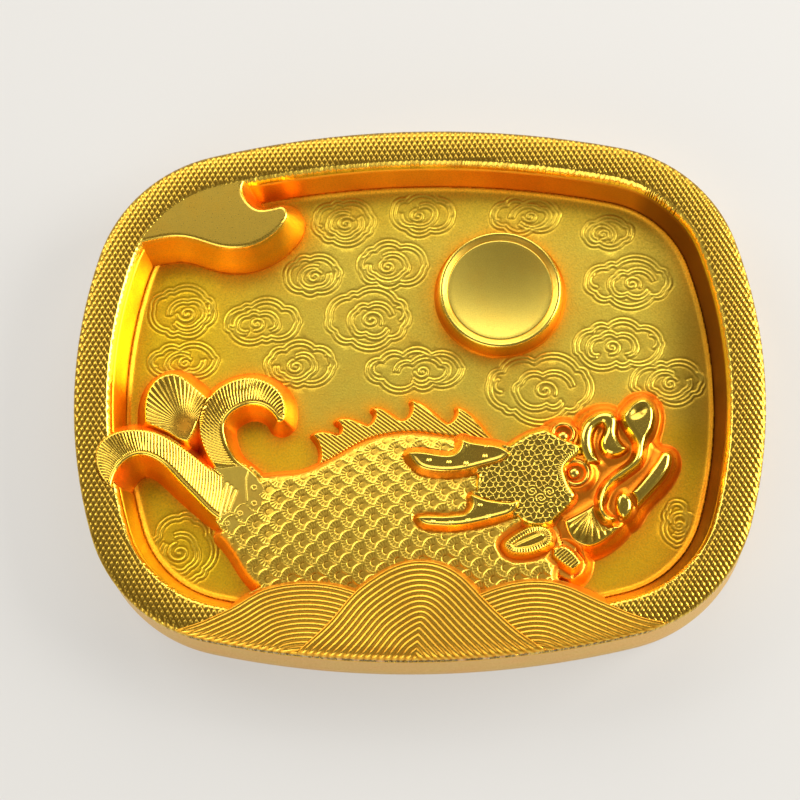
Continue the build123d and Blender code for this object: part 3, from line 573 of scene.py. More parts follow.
def makeTray(spec):
    points, normals, turn = contourPoints(spec["count"])
    flare, foot, top = spec["flare"], spec["wallFoot"], -rimWidth - edgeShift["inner"]
    profile = spec["foot"] + [(flare - 0.5, 0.0), (flare - 0.15, 0.15), (flare, 0.5)]
    profile += [(flare * (1 - share), 0.5 + (landLevel - 0.5) * share) for share in (0.2, 0.4, 0.6, 0.8, 0.95, 1.0)]
    profile += [(top + (foot - top) * share, landLevel + (floorLevel - landLevel) * share)
                for share in (0, 0.15, 0.3, 0.45, 0.6, 0.75, 0.9, 1.0)]
    profile += [(foot - 0.2, floorLevel - 0.6), (foot - 0.2, floorLevel - 2.0)]
    out, levels = (np.array(values)[:, None] for values in zip(*profile))
    x, y = (points[:, k] + normals[:, k] * out for k in (0, 1))
    index, walls = sweptFaces(*x.shape)
    rings = [index[0][::-turn], index[-1][::turn]]
    inner = (out < -6.5) & (levels > floorLevel - 1)
    height = np.clip((levels - floorLevel) / (landLevel - floorLevel), 0, 1)
    across, along = normals.T
    # painted light on the pool wall: an orange glow set by the way each wall faces and stronger low down, painted light
    # on the left wall, painted shade on the right wall and on the far wall towards the right
    warm = np.clip(0.45 + 0.42 * across + 0.22 * along + 0.12 * (1 - height), 0.0, 0.95)
    shade = np.maximum(1.4 * smooth(0.1, 0.8, across), 0.6 * smooth(0, 48, points[:, 0]) * smooth(0.2, 0.7, along))
    tone = {"warm": np.where(inner, warm, 0.12), "paintedLight": np.where(inner, 0.9 * smooth(0.2, -0.8, across), 0),
            "shade": np.where(inner, shade, 0)}
    places = np.stack([x, y, levels + 0 * x], 2).reshape(-1, 3)
    addPiece(spec, places, [walls[:, ::turn], rings], {key: value.ravel() for key, value in tone.items()})


makeTray(trayWall)


# Knurled rim: a grid that runs along both sets of grooves, two steps to each flank

knurl = {"name": "rimKnurled", "slot": "knurled_rim", "node": "rim_band", "pitch": 0.919, "steps": 4, "slant": 60,
         "depths": (0.22, 0.26), "crown": 0.85, "overlap": 0.35,
         "over": ("wave_left", "wave_centre", "wave_right", "tail_curl_lower")}


def makeRim(spec):
    step = spec["pitch"] / spec["steps"]
    ways = np.arange(-int(86 / step), int(86 / step) + 1)
    one, two = np.meshgrid(ways, ways, indexing="ij")
    x = (one + two) * step / (2 * math.sin(math.radians(spec["slant"])))
    y = (two - one) * step
    rough = (np.abs(x) < 66) & (np.abs(y) < 53) & ((np.abs(x) > 43) | (np.abs(y) > 33))
    rows, columns = (np.nonzero(rough.any(k))[0] for k in (1, 0))
    window = (slice(rows[0], rows[-1] + 1), slice(columns[0], columns[-1] + 1))
    x, y, one, two, rough = (grid[window] for grid in (x, y, one, two, rough))
    plan = {}
    for key, value in rimPlan(x[rough], y[rough]).items():
        plan[key] = np.full(x.shape, -9.0)
        plan[key][rough] = value
    outer, inner = plan["outer"], plan["inner"]
    kept = (outer > -0.12) & (inner > -0.12)
    for name in spec["over"]:
        ring = largest(cutLoops(name, edgeLevel + 0.35))
        away = np.zeros(x.shape)
        away[kept] = nearestPoints(linesOf(ring), x[kept], y[kept])[0]
        kept &= ~(isInside([ring], x, y) & (away > spec["overlap"]))
    cells = cellsOf(kept)
    cut = np.maximum(*(depth * 2 * np.abs((way / spec["steps"]) % 1 - 0.5)
                       for depth, way in zip(spec["depths"], (one, two))))
    cut = cut * smooth(-0.1, 0.3, outer) * smooth(0.05, 0.4, inner)
    crown = np.where(outer < rimWidth / 2, np.interp(outer, crownAway, crownShare),
                     np.interp(inner, innerFrom, innerCrown))
    z = edgeLevel + spec["crown"] * crown - cut
    border = borderOf(cells)
    atOuter = border & (outer < 0.5)
    atInner = border & (inner < 0.5) & ~atOuter
    x, y = toEdge(x, y, plan, "outer", atOuter)
    x, y = toEdge(x, y, plan, "inner", atInner)
    z = np.where(atOuter, edgeLevel, np.where(atInner, edgeLevel + spec["crown"] * innerCrown[0], z))
    # painted shade in the knurl's grooves, and a bright top on each diamond, painted highlight and wear
    shade = cut / max(spec["depths"])
    tone = {"warm": np.full_like(z, 0.15), "shade": np.clip(1.25 * shade - 0.1, 0, 1),
            "edge": np.clip(1.1 - 1.8 * shade, 0, 1)}

    def skirt(px, py):
        px, py, _ = skirtPlan(px, py, ("inner", "outer"))
        return px, py, np.full(len(px), landLevel)

    gridPiece(spec, x.T, y.T, z.T, cells.T, {key: value.T for key, value in tone.items()}, skirt)


makeRim(knurl)


# Waves: combed ridges that follow each crest, out over the land to the outer side

wave = {"slot": "ridged_wave", "rise": 0.95, "step": 0.12, "radius": 0.25, "draft": 17, "overlap": 0.1,
        "pitch": 0.86, "depth": 0.15, "start": 0.35, "behind": ("wave_centre",)}


def makeWave(spec):
    step, cutLevel = spec["step"], edgeLevel - 0.3
    ring = largest(cutLoops(spec["node"], cutLevel))
    lines = linesOf(ring)
    others = [loop for name in spec["behind"] for loop in cutLoops(name, cutLevel - 0.2)]
    atSide = np.abs(rimPlan(*beside(lines, 0))["outer"]) < 0.2
    crest = lines[~atSide & ~isInside(others, *beside(lines, 0.4))]
    grown = (edgeLevel + spec["rise"] - spec["radius"] - cutLevel) * math.tan(math.radians(relief["draft"]))
    xs, ys = gridRound(ring, 3.5, step)
    x, y = np.meshgrid(xs, ys)
    plan = rimPlan(x, y)
    signed = signedGrid(ring, xs, ys, 4)[0]
    away = nearestGrid(crest, xs, ys, 24)[0]
    joined = (signed < 0) | insideGrid(others, xs, ys) | (plan["outer"] < 0.3)
    d = np.where(joined, away, -away) + grown
    ridge = np.abs(np.sin(math.pi * (d - spec["start"]) / spec["pitch"]))
    cut = spec["depth"] * (1 - ridge)
    top = edgeLevel + spec["rise"] * np.interp(plan["outer"], crownAway, crownShare)
    z = top - edgeDrop(d, signed - grown, spec) - cut * smooth(0.1, 0.5, d)
    z = smoothMax(z, floorLevel - 0.04, relief["foot"])
    cells = cellsOf((z > floorLevel - 0.035) & (plan["outer"] > -0.5 * step) & (signed - grown < 3))
    border = borderOf(cells) & (plan["outer"] < 1.6 * step)
    x, y = toEdge(x, y, plan, "outer", border)
    z = np.where(border, edgeLevel - 0.6 * cut, z)
    # painted orange glow on the walls, painted shade in the grooves, and a bright crest on each ridge, painted
    # highlight and wear
    onWall = smooth(0.1, -0.3, d)
    tone = {"warm": 0.4 * onWall + 0.35, "shade": 0.55 * (1 - ridge) ** 1.5 * (1 - onWall),
            "edge": ridge ** 3 * (1 - onWall)}

    def skirt(px, py):
        px, py, under = skirtPlan(px, py, ("outer",))
        return px, py, np.where(under["inner"] > 0, landLevel, floorLevel - 0.3)

    gridPiece(spec, x, y, z, cells, tone, skirt)


for spec in (
    {"name": "waveCentre", "node": "wave_centre", "rise": 1.35, "step": 0.13, "pitch": 0.97, "depth": 0.17,
     "start": 0.4, "behind": ()},
    {"name": "waveLeft", "node": "wave_left"},
    {"name": "waveRight", "node": "wave_right"},
):
    makeWave({**wave, **spec})


# Moon dish and eyes: turned profiles of radius, level over the floor, tone (a painted orange glow, strongest at the
# foot of each wall) and shine (painted highlight and wear)

def middleOf(node):
    low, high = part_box(node)
    return (low.x + high.x) / 2 / mm, (low.y + high.y) / 2 / mm


def turned(spec):
    centre, count = middleOf(spec["node"]), spec["sides"]
    angles = np.arange(count) * 2 * math.pi / count
    radii, levels, warm, edge = (np.array(values, float) for values in zip(*spec["profile"]))
    x = centre[0] + radii[:-1, None] * np.cos(angles)
    y = centre[1] + radii[:-1, None] * np.sin(angles)
    z = floorLevel + levels[:-1, None] + 0 * x
    points = np.concatenate([np.stack([x, y, z], 2).reshape(-1, 3), [[*centre, floorLevel + levels[-1]]]])
    index, walls = sweptFaces(*x.shape)
    cap = np.column_stack([index[-1], np.roll(index[-1], -1), np.full(count, len(points) - 1)])
    tone = {key: np.append(np.repeat(values[:-1], count), values[-1])
            for key, values in (("warm", warm), ("edge", edge))}
    addPiece(spec, points, [walls, cap, [index[0][::-1]]], tone)


moonDish = {"name": "moonDish", "slot": "polished_dish", "node": "moon_dish", "sides": 160, "bowl": (9.8, 3.5, 1.0),
            "profile": [
    (12.8, -0.3, 1, 0), (12.75, 0.02, 1, 0), (12.45, 0.12, 1, 0), (12.3, 0.5, 0.9, 0), (12.0, 2.0, 0.65, 0),
    (11.78, 3.3, 0.35, 0.2), (11.7, 3.65, 0.1, 0.7), (11.55, 3.9, 0, 1), (11.3, 4.0, 0, 0.8), (11.0, 3.93, 0.1, 0.3),
    (10.7, 3.72, 0.3, 0), (10.4, 3.6, 0.15, 0), (10.2, 3.53, 0.3, 0), (10.08, 3.42, 0.6, 0), (9.95, 3.5, 0, 0.5)]}
bowlRadius, bowlEdge, bowlDepth = moonDish["bowl"]
moonDish["profile"] += [(bowlRadius * share, bowlEdge - bowlDepth * (1 - share ** 2), 0, 0)
                        for share in np.linspace(1, 0, 15)]
turned(moonDish)

for size, radius, ball in (("Large", 2.45, 1.2), ("Small", 2.1, 1.25)):
    node = size.lower() + "_eye_"
    turned({"name": "eyeRing" + size, "slot": "polished_relief", "node": node + "ring", "sides": 72, "profile": [
        (radius + 0.9, 2.8, 1, 0), (radius + 0.6, 3.5, 0.9, 0), (radius + 0.3, 4.1, 0.7, 0),
        (radius + 0.1, 4.5, 0.4, 0.4), (radius - 0.12, 4.66, 0.2, 0.8), (radius - 0.35, 4.6, 0.3, 0.6),
        (radius - 0.6, 4.3, 0.6, 0), (ball + 0.3, 3.75, 0.9, 0), (ball, 3.6, 1, 0), (ball * 0.5, 3.6, 1, 0),
        (0, 3.6, 1, 0)]})
    rise = [math.radians(9 * k) for k in range(10)]
    dome = [(ball * math.cos(a), 3.58 + ball * math.sin(a), 0.8 * math.cos(a) ** 3, 0) for a in rise]
    turned({"name": "eyeBall" + size, "slot": "polished_relief", "node": node + "ball", "sides": 56,
            "profile": dome + [(0, 3.58 + ball, 0, 0)]})


# Cloud shelf

reliefPiece({"name": "cloudShelf", "slot": "satin_shelf", "node": "cloud_shelf", "step": 0.14, "radius": 0.8,
             "neighbours": ["rim_band"], "lookOut": 0.25, "lookUnder": 0.1, "foot": 0.8, "shine": 0.7})


# Fish body: scales stand in staggered columns, each one covers the one nearer the tail

scales = {"origin": (-12.82, -20.35), "across": 2.2, "along": 4.25, "slip": -2.05, "radius": 2.12, "focus": 0.62,
          "rays": 17, "tilt": 8}
body = {"name": "fishBody", "slot": "scaled_body", "node": "fish_body", "step": 0.142,
        "crown": 4.9, "crownRadius": 105, "ridge": -25.424, "tailDip": 0.9,  # a long barrel, lower at the tail
        "plane": (floorLevel + 4.5, (0, 0)), "cutDrop": 2.5, "cadEdge": 0.0, "radius": 1.9, "fade": 2.2, "band": 1.1,
        "neighbours": ["tail_root", "head_base", "wave_centre", "wave_left", "wave_right"], "lookOut": 1.0,
        "lookUnder": 0.1, "under": ["wave_centre", "wave_left", "wave_right"], "shine": 0, "overlap": 1.3,
        "moats": [("ear_leaf", 1.3, 1.8), ("side_fin", 1.0, 1.6), ("horn_lower", 0.5, 1.6), ("horn_upper", 0.5, 1.6),
                  ("head_base", 1.3, 1.9)]}


def scaleDetail(x, y, d, field):
    radius, focus = scales["radius"], scales["focus"]
    best = np.full(x.shape, -99.0)
    r, angle = np.full(x.shape, radius), np.zeros(x.shape)
    column = np.floor((x - scales["origin"][0]) / scales["across"])
    for shift in range(-1, 3):
        i = column + shift
        offset = scales["origin"][1] + i * scales["slip"]
        centreY = offset + np.round((y - offset) / scales["along"]) * scales["along"]
        away, way = polar(x, y, (scales["origin"][0] + i * scales["across"], centreY))
        owns = (away < radius) & (i > best)
        best, r, angle = np.where(owns, i, best), np.where(owns, away, r), np.where(owns, way, angle)
    free = best < -90  # between the scales
    angle = angle + math.radians(scales["tilt"])  # the fans open a little upwards
    left = smooth(0.3, -0.15, np.cos(angle))
    rim = bead(r, radius - 0.17, 0.17) * smooth(0.75, 0.4, np.cos(angle))
    fan = smooth(focus, focus + 0.2, r) * smooth(radius - 0.15, radius - 0.35, r) * (0.5 + 0.5 * left)
    rays = 1 - (1 - comb(angle * scales["rays"] / (2 * math.pi))) ** 2
    eye = bead(r, focus + 0.02, 0.13) * left
    oval = smooth(focus + 0.12, focus - 0.12, r)
    lip = smooth(radius - 0.3, radius - 0.5, r) * smooth(radius - 0.75, radius - 0.5, r)
    rise = 0.12 * rim + 0.11 * (r / radius) * (0.4 + 0.6 * left) + 0.08 * rays * fan - 0.1 * eye - 0.12
    # painted shade in the arc by the middle, between the rays, beside the rim, over each scale's flat middle and in the
    # gaps between scales; the rims and rays get painted highlight and wear
    groove = 0.9 * eye + 0.7 * (1 - rays) * fan + 0.3 * lip * left + 0.35 * oval + 0.2 * free
    return rise, np.clip(groove, 0, 1), np.clip(rim + 0.7 * rays * fan, 0, 1)


def bodyTop(x, y, field):
    crown = np.sqrt(body["crownRadius"] ** 2 - (y - body["ridge"]) ** 2) - body["crownRadius"]
    return floorLevel + body["crown"] + crown - body["tailDip"] * smooth(-25.5, -31.0, x)


reliefPiece({**body, "top": bodyTop, "detail": scaleDetail})


# Tail root: smooth, with three short ribs, a thin arc and five ring dots

rootLines = {
    "ribs": [[(-36.11, -17.38), (-37.53, -23.5)], [(-35.35, -17.98), (-36.6, -22.76)],
             [(-34.5, -18.76), (-35.86, -22.39)]],
    "arc": [(-31.24, -14.77), (-32.1, -15.2), (-32.5, -16.4), (-32.53, -17.83), (-32.31, -20.72)],
    "dots": [(-30.29, -15.95), (-31.02, -18.25), (-30.99, -21.32), (-33.6, -23.19), (-36.01, -25.06)],
}


def rootDetail(x, y, d, field):
    rise, groove = 0.1 * bead(awayFrom(rootLines["arc"], field), 0, 0.12), np.zeros_like(x)
    for line in rootLines["ribs"]:
        away = awayFrom(line, field)
        rise += 0.12 * bead(away, 0, 0.16) - 0.07 * bead(away, 0.34, 0.14)
    for place in rootLines["dots"]:
        away = polar(x, y, place)[0]
        rise += 0.1 * bead(away, 0.42, 0.13) - 0.08 * bead(away, 0, 0.2)
        # painted shade in the hollow of each dot, painted highlight and wear on what is raised
        groove = np.maximum(groove, bead(away, 0, 0.25))
    return rise, groove, np.clip(rise * 8, 0, 1)


# Tail curls: ribs join the same shares of the outer and the inner stroke, a bead runs along the inner edge

lowerCurl = {"outerRoot": (-36.8, -16.2), "innerRoot": (-37.7, -24.1), "tip": (-57.2, -18.6), "turn": 1,
             "bend": (0.48, 0.65), "ribs": 56, "plain": -1}  # bend: the same place as a share of each stroke
upperCurl = {"outerRoot": (-38.2, -14.4), "innerRoot": (-32.9, -13.8), "tip": (-25.8, -5.5), "turn": -1,
             "bend": (0.5, 0.5), "ribs": 48, "plain": 0.04}  # plain: no ribs before this share
rootReach = 5.0  # the strokes are led on past the root, so that the ribs stay straight there


def strokeLines(ring, root, tip, turn):
    # one edge of a curl at even gaps, with small corners smoothed away and shares counted from the root
    first, last = (int(polar(*ring.T, place)[0].argmin()) for place in (root, tip))
    path = ring[(first + turn * np.arange((turn * (last - first)) % len(ring) + 1)) % len(ring)]
    run = np.concatenate([[0], np.cumsum(np.hypot(*np.diff(path, axis=0).T))])
    places = np.linspace(0, run[-1], int(run[-1] / 0.4) + 1)
    path = np.stack([np.interp(places, run, path[:, k]) for k in (0, 1)], 1)
    for _ in range(6):
        path[1:-1] = (path[:-2] + 2 * path[1:-1] + path[2:]) / 4
    back = path[0] - path[5]
    lines = linesOf(np.concatenate([[path[0] + back / np.hypot(*back) * rootReach], path]), False)
    whole = float(np.hypot(*(lines[:, 2:4] - lines[:, :2]).T).sum())
    lines[:, 4:] = (lines[:, 4:] * whole - rootReach) / (whole - rootReach)
    return lines


def curlDetail(spec):
    def detail(x, y, d, field):
        outer = strokeLines(field["ring"], spec["outerRoot"], spec["tip"], spec["turn"])
        inner = strokeLines(field["ring"], spec["innerRoot"], spec["tip"], -spec["turn"])
        outerAway, fromOut = nearestGrid(outer, field["xs"], field["ys"], 10)
        innerAway, fromIn = nearestGrid(inner, field["xs"], field["ys"], 10)
        bendOut, bendIn = spec["bend"]
        fromOut = np.clip(fromOut, -1, 1)
        fromIn = np.interp(fromIn, (-1, bendIn, 1), (-bendOut / bendIn, bendOut, 1))
        share = (fromOut * innerAway + fromIn * outerAway) / np.maximum(innerAway + outerAway, 1e-6)
        ribs = comb(share * spec["ribs"])
        ribbed = smooth(0.75, 1.1, innerAway) * smooth(spec["plain"], spec["plain"] + 0.02, share)
        edge, channel = bead(innerAway, 0.42, 0.18), bead(innerAway, 0.82, 0.16)
        # painted shade between the ribs and in the channel, painted highlight and wear on the ribs and the bead
        rise = 0.15 * (ribs - 1) * ribbed + 0.02 * edge - 0.15 * channel
        return rise, np.clip(0.9 * (1 - ribs) * ribbed + channel, 0, 1), np.clip(0.8 * ribs * ribbed + edge, 0, 1)
    return detail


# Fan and fins

fan = {"focus": (-44.27, -6.27), "first": 54, "gap": 6.2, "rise": 0.2}  # first ray and gap in degrees
finRibs = {"slant": 38, "gap": 0.62, "rise": 0.14}
sideRibs = {"way": (0.64, -0.77), "gap": 0.56, "rise": 0.13}  # they cross the fin, square to its length


def fanDetail(x, y, d, field):
    away, angle = polar(x, y, fan["focus"])
    rays = comb((np.degrees(angle) - fan["first"]) / fan["gap"])
    rayed = smooth(0.3, 1.6, away)
    rise = fan["rise"] * (rays - 0.5) * rayed * np.clip(away / 6, 0.25, 1) - 0.12 * smooth(0.4, 3, d)
    # painted shade between the rays, painted highlight and wear on them
    return rise, 0.8 * (1 - rays) * rayed, rays ** 2 * rayed


def finDetail(x, y, d, field):
    slant = math.radians(finRibs["slant"])
    ribs = comb((x * math.sin(slant) + y * math.cos(slant)) / finRibs["gap"])
    # painted shade between the ribs, painted highlight and wear on them
    return finRibs["rise"] * (ribs - 0.5), 0.85 * (1 - ribs), 0.8 * ribs ** 2


def sideFinDetail(x, y, d, field):
    ribs = comb((sideRibs["way"][0] * x + sideRibs["way"][1] * y) / sideRibs["gap"])
    # painted shade between the ribs, painted highlight and wear on them
    return sideRibs["rise"] * (ribs - 0.5), 0.8 * (1 - ribs), ribs


# Horns: pairs of ticks on a shallow hollow top

upperTicks = [(1.92, -13.98), (5.64, -14.43), (8.81, -14.69), (12.37, -13.41), (9.24, -11.42), (12.69, -11.6)]
lowerTicks = [(2.51, -25.63), (5.84, -25.87), (8.98, -25.55), (12.69, -25.05), (11.26, -22.75), (14.95, -23.01),
              (16.99, -23.04)]
tick = {"half": (0.13, 0.34), "pair": 0.24, "lean": 0.25, "rise": 0.13, "hollow": 0.14}


def tickDetail(places):
    def detail(x, y, d, field):
        ticks = np.zeros_like(x)
        for px, py in places:
            for side in (-tick["pair"], tick["pair"]):
                across, up = (x - px - side - tick["lean"] * (y - py)) / tick["half"][0], (y - py) / tick["half"][1]
                ticks = np.maximum(ticks, np.exp(-across ** 2 - up ** 2))
        # painted shade in the hollow top, painted highlight and wear on the ticks
        return tick["rise"] * ticks - tick["hollow"] * smooth(0.35, 1.1, d), 0.12 * smooth(0.6, 1.2, d), ticks
    return detail


# Crest: a net of rounded cells, swirls low on the right and a fringe beside the eye

largeEye, smallEye = middleOf("large_eye_ring"), middleOf("small_eye_ring")
net = {"cell": 1.14, "swirls": [((22.6, -21.6), 1), ((21.0, -20.2), -1), ((24.2, -20.4), 1)], "swirlPitch": 0.62,
       "dot": (24.4, -22.89), "fringe": 52, "rise": 0.085}


def netDetail(x, y, d, field):
    size, rowGap = net["cell"], net["cell"] * 0.87
    nearRow = np.round(y / rowGap)
    first, second = np.full(x.shape, 9.0), np.full(x.shape, 9.0)
    for row in (nearRow - 1, nearRow, nearRow + 1):
        for i in (-1, 0, 1):
            column = np.round(x / size - 0.5 * (row % 2)) + i
            key = column * 12.9898 + row * 78.233  # shifts each cell by its own share, the same each run
            centreX = (column + 0.5 * (row % 2) + 0.27 * np.sin(key * 3.1)) * size
            away = polar(x, y, (centreX, (row + 0.25 * np.cos(key * 2.3)) * rowGap))[0]
            second = np.where(away < first, first, np.minimum(second, away))
            first = np.minimum(first, away)
    lines = bead(second - first, 0, 0.15)
    for place, turn in net["swirls"]:
        away, angle = polar(x, y, place)
        mask = smooth(1.35, 1.0, away)
        lines = lines * (1 - mask) + comb(away / net["swirlPitch"] - turn * angle / (2 * math.pi)) ** 2 * mask
    away = polar(x, y, net["dot"])[0]
    lines = np.maximum(lines * smooth(0.7, 0.9, away), bead(away, 0.45, 0.16))
    away, angle = polar(x, y, largeEye)
    fringe = smooth(4.9, 4.5, away) * smooth(1.5, 1.2, d)
    lines = lines * (1 - fringe) + comb(angle * net["fringe"] / (2 * math.pi)) * fringe
    # painted shade in the cells, painted highlight and wear on their outlines
    return net["rise"] * lines - 0.05, 0.4 * (1 - lines), 0.7 * lines


# Head: a soft ground that climbs to the forms of the face, rayed cheek, ribbed ear and hollow snout

cheek = {"focus": (32.2, -23.4), "rays": 26}
ear = {"ribs": 42, "ridge": [(16.6, -31.0), (19.0, -29.9), (22.6, -28.4)]}
spoon = {"middle": (41.3, -5.2), "way": (0.8, 0.6), "half": (2.6, 1.6), "depth": 0.5}
wrinkle = [(26.2, -24.2), (27.4, -22.9), (28.6, -21.1)]  # behind the mouth
faceBase = floorLevel + 3.35
faceForms = ("nose_curl", "snout_lip", "mouth_ball", "jaw_bar", "cheek_fan", "forehead_crest", "large_eye_ring",
             "small_eye_ring")


def cheekDetail(x, y, d, field):
    away, angle = polar(x, y, cheek["focus"])
    rays = comb(angle * cheek["rays"] / (2 * math.pi))
    rayed = smooth(1.0, 1.6, away) * smooth(0.3, 0.7, d)
    # painted shade between the rays, painted highlight and wear on them
    return 0.12 * (rays - 0.6) * rayed + 0.35 * smooth(0.2, 2.0, d) - 0.2, 0.7 * (1 - rays) * rayed, rays ** 3 * rayed


def earDetail(x, y, d, field):
    ribs = comb(field["along"] * ear["ribs"])
    band = smooth(0.1, 0.3, d) * smooth(1.35, 1.1, d)
    ridge, leaf = awayFrom(ear["ridge"], field, 2.5), smooth(1.25, 1.6, d)
    rise = 0.16 * (ribs - 0.5) * band - 0.28 * leaf + 0.3 * bead(ridge, 0, 0.4) * leaf - 0.1 * bead(d, 1.35, 0.14)
    # painted shade between the ribs and on the leaf, painted highlight and wear on the ribs and the ridge
    return rise, np.clip(0.8 * (1 - ribs) * band + 0.3 * leaf, 0, 1), ribs * band + bead(ridge, 0, 0.25) * leaf


def spoonDetail(x, y, d, field):
    fromX, fromY = x - spoon["middle"][0], y - spoon["middle"][1]
    along = (fromX * spoon["way"][0] + fromY * spoon["way"][1]) / spoon["half"][0]
    across = (fromY * spoon["way"][0] - fromX * spoon["way"][1]) / spoon["half"][1]
    bowl = smooth(1.0, 0.0, np.hypot(along, across))
    # painted shade in the bowl
    return -spoon["depth"] * bowl, 0.7 * bowl, np.zeros_like(x)


def browDetail(x, y, d, field):
    # low swellings round the eyes and a wrinkle behind the mouth
    away = awayFrom(wrinkle, field, 2.5)
    swell = 0.5 * bead(polar(x, y, largeEye)[0], 3.1, 0.7) + 0.4 * bead(polar(x, y, smallEye)[0], 2.6, 0.6)
    # painted shade beside the wrinkle, painted highlight and wear on it
    return swell + 0.55 * bead(away, 0, 0.5), 0.2 * bead(away, 1.1, 0.4), 0.5 * bead(away, 0, 0.3)


def faceGround(x, y, field):
    lines = []
    for name in faceForms:
        level, slope = topPlane(name)
        lines.append(linesOf(largest(cutLoops(name, level - 0.55, slope))))
    away = nearestGrid(np.concatenate(lines), field["xs"], field["ys"], 4)[0]
    return faceBase + 0.1 + 0.75 * np.exp(-away / 0.9) + 0.2 * smooth(0.5, 4, field["d"])


curl = {"slot": "ribbed_relief", "step": 0.085, "radius": 0.45, "fade": 0.25}
horn = {"slot": "polished_relief", "step": 0.08, "radius": 0.35, "cadEdge": 0.3, "grow": 0.22, "draft": 36, "fade": 0.1,
        "base": faceBase, "neighbours": ["forehead_crest"]}
polished = {"slot": "polished_relief", "base": faceBase}
ribbed = {"slot": "ribbed_relief", "base": faceBase, "foot": 0.6}
for spec in (
    {"name": "headBase", "node": "head_base", "slot": "polished_relief", "step": 0.13, "radius": 1.5, "fade": 1.0,
     # the face ground takes a painted orange glow all over
     "neighbours": ["fish_body"], "foot": 1.2, "warm": 0.8, "shine": 0.1, "band": 0.5, "draft": 27,
     "top": faceGround, "detail": browDetail, "moats": [("ear_leaf", 0.9, 1.8), ("side_fin", 0.9, 1.6)]},
    {"name": "tailRoot", "node": "tail_root", "slot": "polished_relief", "step": 0.09, "radius": 0.5, "soft": 0.9,
     "neighbours": ["fish_body", "tail_curl_lower", "tail_curl_upper"], "detail": rootDetail},
    {"name": "tailCurlLower", "node": "tail_curl_lower", **curl, "neighbours": ["tail_root", "tail_curl_upper"],
     "detail": curlDetail(lowerCurl)},
    {"name": "tailCurlUpper", "node": "tail_curl_upper", **curl, "neighbours": ["tail_root", "tail_curl_lower"],
     "detail": curlDetail(upperCurl)},
    {"name": "tailFan", "node": "tail_fan", "slot": "ribbed_relief", "step": 0.09, "radius": 0.45, "fade": 0.3,
     "neighbours": ["tail_curl_lower", "tail_curl_upper"], "detail": fanDetail, "glow": [(-44.3, -6.3, 3.6)]},
    {"name": "dorsalFin", "node": "dorsal_fin", "slot": "ribbed_relief", "step": 0.09, "radius": 0.35, "draft": 20,
     "cadEdge": 0.3, "neighbours": ["fish_body", "horn_upper", "head_base"], "detail": finDetail, "fade": 0.3,
     "warm": 0.15, "moats": [("fish_body", 1.1, 1.9, floorLevel + 3)]},
    {"name": "foreheadCrest", "node": "forehead_crest", "slot": "netted_crest", "step": 0.08, "radius": 0.8,
     "draft": 32, "plane": (floorLevel + 5.5, (0, 0)), "cutDrop": 1.9, "cadEdge": 0.0, "base": faceBase,
     "detail": netDetail, "neighbours": ["horn_upper", "horn_lower"]},
    {"name": "snoutLip", "node": "snout_lip", **polished, "grow": 0.15, "step": 0.08, "radius": 0.9, "cadEdge": 0.3,
     "detail": spoonDetail, "foot": 0.6, "draft": 28},
    {"name": "noseCurl", "node": "nose_curl", **polished, "grow": 0.3, "step": 0.08, "radius": 1.35, "draft": 24,
     "foot": 0.8},
    {"name": "mouthBall", "node": "mouth_ball", **polished, "grow": 0.25, "step": 0.07, "radius": 1.25, "draft": 16,
     "cadEdge": 0.48, "foot": 0.4},
    {"name": "jawBar", "node": "jaw_bar", **polished, "grow": 0.3, "step": 0.07, "radius": 1.15, "draft": 20,
     "cadEdge": 0.55, "foot": 0.6},
    {"name": "cheekFan", "node": "cheek_fan", **ribbed, "step": 0.08, "radius": 0.6, "cadEdge": 0.3,
     "detail": cheekDetail},
    {"name": "earLeaf", "node": "ear_leaf", **ribbed, "step": 0.075, "radius": 0.45, "detail": earDetail, "draft": 38,
     "fade": 0.2},
    {"name": "sideFin", "node": "side_fin", **ribbed, "step": 0.08, "radius": 0.5, "detail": sideFinDetail, "draft": 30,
     "fade": 0.3},
    {"name": "hornUpper", "node": "horn_upper", **horn, "detail": tickDetail(upperTicks)},
    {"name": "hornLower", "node": "horn_lower", **horn, "detail": tickDetail(lowerTicks)},
):
    reliefPiece(spec)


# Floor plate: fine cells where a line or a wall's foot is, large ones elsewhere

clouds = {  # middle, half length, half depth and number of lobes of each cloud
    "places": [(-14.3, 36.0, 6.9, 5.2, 8), (1.1, 37.3, 7.4, 4.7, 6), (21.2, 36.6, 7.8, 4.2, 7),
               (37.1, 32.5, 6.0, 3.5, 7), (40.8, 22.3, 9.3, 4.9, 9), (-20.4, 25.1, 6.4, 4.6, 7),
               (-4.9, 26.9, 7.8, 5.0, 8), (-45.9, 18.1, 7.3, 5.6, 8), (-30.2, 15.7, 8.3, 4.6, 9),
               (-9.7, 16.1, 8.9, 6.3, 9), (-45.5, 8.0, 7.8, 3.8, 7), (-22.8, 6.9, 7.7, 4.8, 8),
               (-0.7, 5.4, 10.4, 4.2, 9), (38.4, 9.6, 9.6, 5.0, 9), (23.2, 1.3, 11.3, 6.5, 9),
               (47.6, 2.0, 8.1, 4.5, 8), (-44.7, -29.0, 6.6, 7.5, 8), (48.0, -25.5, 3.3, 5.3, 7)],
    "pair": 0.75, "inset": 0.45, "bead": 0.18, "rise": 0.08, "groove": 0.16, "cut": 0.10,
}


